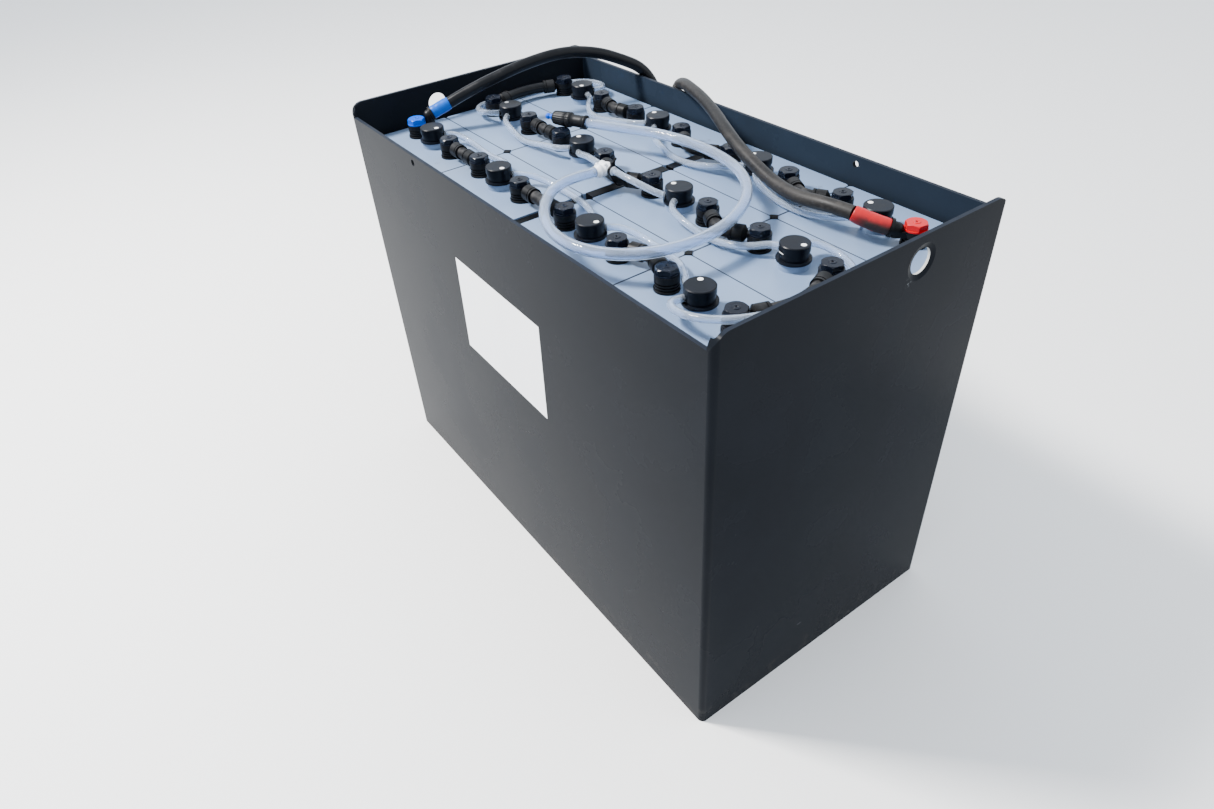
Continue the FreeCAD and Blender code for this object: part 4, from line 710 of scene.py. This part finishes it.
def addTee():
    lump = teeValues["lump"]

    def uneven(distance, turn):
        return lump * noise.noise(Vector((distance * 0.35, math.cos(turn) * 1.7, math.sin(turn) * 1.7)))

    parts = []
    arm, long, barb = (teeValues[key] for key in ("arm", "armLength", "barb"))
    barbs = [(d, arm + (barb if d % 4 < 2 else 0.1 - barb)) for d in range(long - 1)]
    for side in (-1, 1):
        profile = [(-4, 4)] + barbs + [(long - 1, arm - 0.8), (long, arm - 1.4)]
        parts.append(lathe(teeCentre, (side, 0, 0), profile, 28, uneven))
    wide = teeValues["branch"]
    ring = teeValues["ring"]
    heel = [(-7.6, 1), (-6.6, 4.6), (-4, 6.9), (-1, 7.9), (2, 8.1), (4, wide)]
    firstRing = [(4.3, ring - 0.4), (5, ring), (7.2, ring), (7.9, ring - 0.5), (8.1, wide),
                 (11.8, wide - 0.2)]
    secondRing = [(12.2, ring - 0.5), (13, ring - 0.1), (15.2, ring - 0.1), (15.8, ring - 0.6),
                  (16, wide - 0.1)]
    branch = heel + firstRing + secondRing + [(19.4, wide - 0.3), (20, wide - 1)]
    parts.append(lathe(teeCentre, (0, -1, 0), branch, 36, uneven))
    for distance, lean in teeValues["ears"]:
        out = Vector((math.sin(lean), 0, math.cos(lean)))
        foot = Vector(teeCentre) + Vector((0, -distance, 0)) + out * (ring - 1.6)
        ear = [(0, 2), (0.5, 2.3), (2.2, 2.2), (2.9, 1.7), (3.1, 0.8)]
        parts.append(lathe(foot, (math.sin(lean), 0.1, math.cos(lean)), ear, 14))
    addPiece("hoseTee", joined("hoseTee", parts), "tee_white", stands=["hose_tee"])


addTee()

# Bolt heads: a raised disc with the test hole in each
allPoles = [cell + side for cell in nippleTurns for side in "ab"]
discValues = {"radius": 4.6, "height": 0.55, "hole": 1.25, "head": 599.1, "poleOffset": 54.5}


def addDiscs(name, slotName, poles):
    radius, hole, high = (discValues[key] for key in ("radius", "hole", "height"))
    profile = [(0, radius), (high * 0.7, radius - 0.1), (high, radius - 0.4), (high, hole), (0, hole)]
    parts = []
    for pole in poles:
        side = -1 if pole[2] == "a" else 1
        place = cellPlace(pole[:2], discValues["head"]) + Vector((side * discValues["poleOffset"], 0, 0))
        points, faces = lathe(place, (0, 0, 1), profile, 24)
        parts.append((points, faces[:-2]))
    addPiece(name, joined(name, parts), slotName)


# The slot in the side of the cap of cell m4: a raised dark band as painted shade for its opening, with a pale
# lower band as a painted highlight on its lower edge
slotValues = {"turn": -101, "radius": 17.75, "foot": 592.4, "height": 3.2, "width": 7.5, "lip": 0.7}


def addCapSlot():
    def band(low, high, out, half):
        points, faces = [], []
        for k in range(9):
            turn = math.radians(slotValues["turn"]) + half / slotValues["radius"] * (k / 4 - 1)
            for height in (low, high):
                for size in (slotValues["radius"] - 0.4, slotValues["radius"] + out):
                    away = Vector((math.cos(turn), math.sin(turn), 0))
                    points.append(cellPlace("m4", height) * mm + away * size * mm)
        for k in range(8):
            a = k * 4
            faces += [[a + 1, a + 5, a + 7, a + 3], [a + 3, a + 7, a + 6, a + 2], [a, a + 4, a + 5, a + 1]]
        faces += [[0, 1, 3, 2], [32, 34, 35, 33]]
        return points, faces

    foot, high, half = slotValues["foot"], slotValues["height"], slotValues["width"] / 2
    # Dark band: painted shade for the slot's opening; pale band below it: painted highlight
    slotShadeBand = band(foot, foot + high, 0.15, half)
    slotHighlightBand = band(foot - slotValues["lip"], foot, 0.45, half)
    addPiece("capSlot", joined("capSlot", [slotShadeBand], False), "trim_black")
    addPiece("capSlotHighlight", joined("capSlotHighlight", [slotHighlightBand], False), "indicator_white")


addCapSlot()
addDiscs("boltDiscs", "bolt_plastic", [pole for pole in allPoles if pole not in ("f1a", "b4b")])
addDiscs("minusBoltDisc", "blue_plastic", ["f1a"])
addDiscs("plusBoltDisc", "red_plastic", ["b4b"])
print("tee and bolts")

# Stage and light
stageValues = {"floorReach": 20, "floor": (0.95, 0.945, 0.935), "floorCloud": (0.93, 0.925, 0.915),
               "floorRoughness": 0.7, "sky": (0.84, 0.91, 1.0), "skyStrength": 1.65}
lightValues = {
    "key": {"place": (-1.4, -1.55, 3.1), "target": (0, 0, 0.5), "size": 0.6, "power": 360,
            "colour": (1, 0.98, 0.955)},
    "fill": {"place": (2.4, 2.2, 2.4), "target": (0, 0, 0.3), "size": 2.5, "power": 26, "colour": (1, 1, 1)},
}


def addFloor():
    far = stageValues["floorReach"]
    mesh = bpy.data.meshes.new("floor")
    mesh.from_pydata([(-far, -far, 0), (far, -far, 0), (far, far, 0), (-far, far, 0)], [], [(0, 1, 2, 3)])
    floor = bpy.data.objects.new("floor", mesh)
    bpy.context.collection.objects.link(floor)
    look = Look("floorPale", stageValues["floor"], stageValues["floorRoughness"])
    look.paint((look.noise(2, 3) * 0.2, stageValues["floorCloud"]))
    mesh.materials.append(look.material)


def addLight(name, place, target, size, power, colour):
    data = bpy.data.lights.new(name, "AREA")
    data.size = size
    data.energy = power
    data.color = colour
    lamp = bpy.data.objects.new(name, data)
    lamp.location = place
    lamp.rotation_euler = (Vector(target) - Vector(place)).to_track_quat("-Z", "Y").to_euler()
    bpy.context.collection.objects.link(lamp)


def addWorld():
    world = bpy.data.worlds.new("studio")
    world.use_nodes = True
    background = world.node_tree.nodes["Background"]
    background.inputs["Color"].default_value = (*stageValues["sky"], 1)
    background.inputs["Strength"].default_value = stageValues["skyStrength"]
    bpy.context.scene.world = world


addFloor()
for name, values in lightValues.items():
    addLight(name, **values)
addWorld()
print("stage")
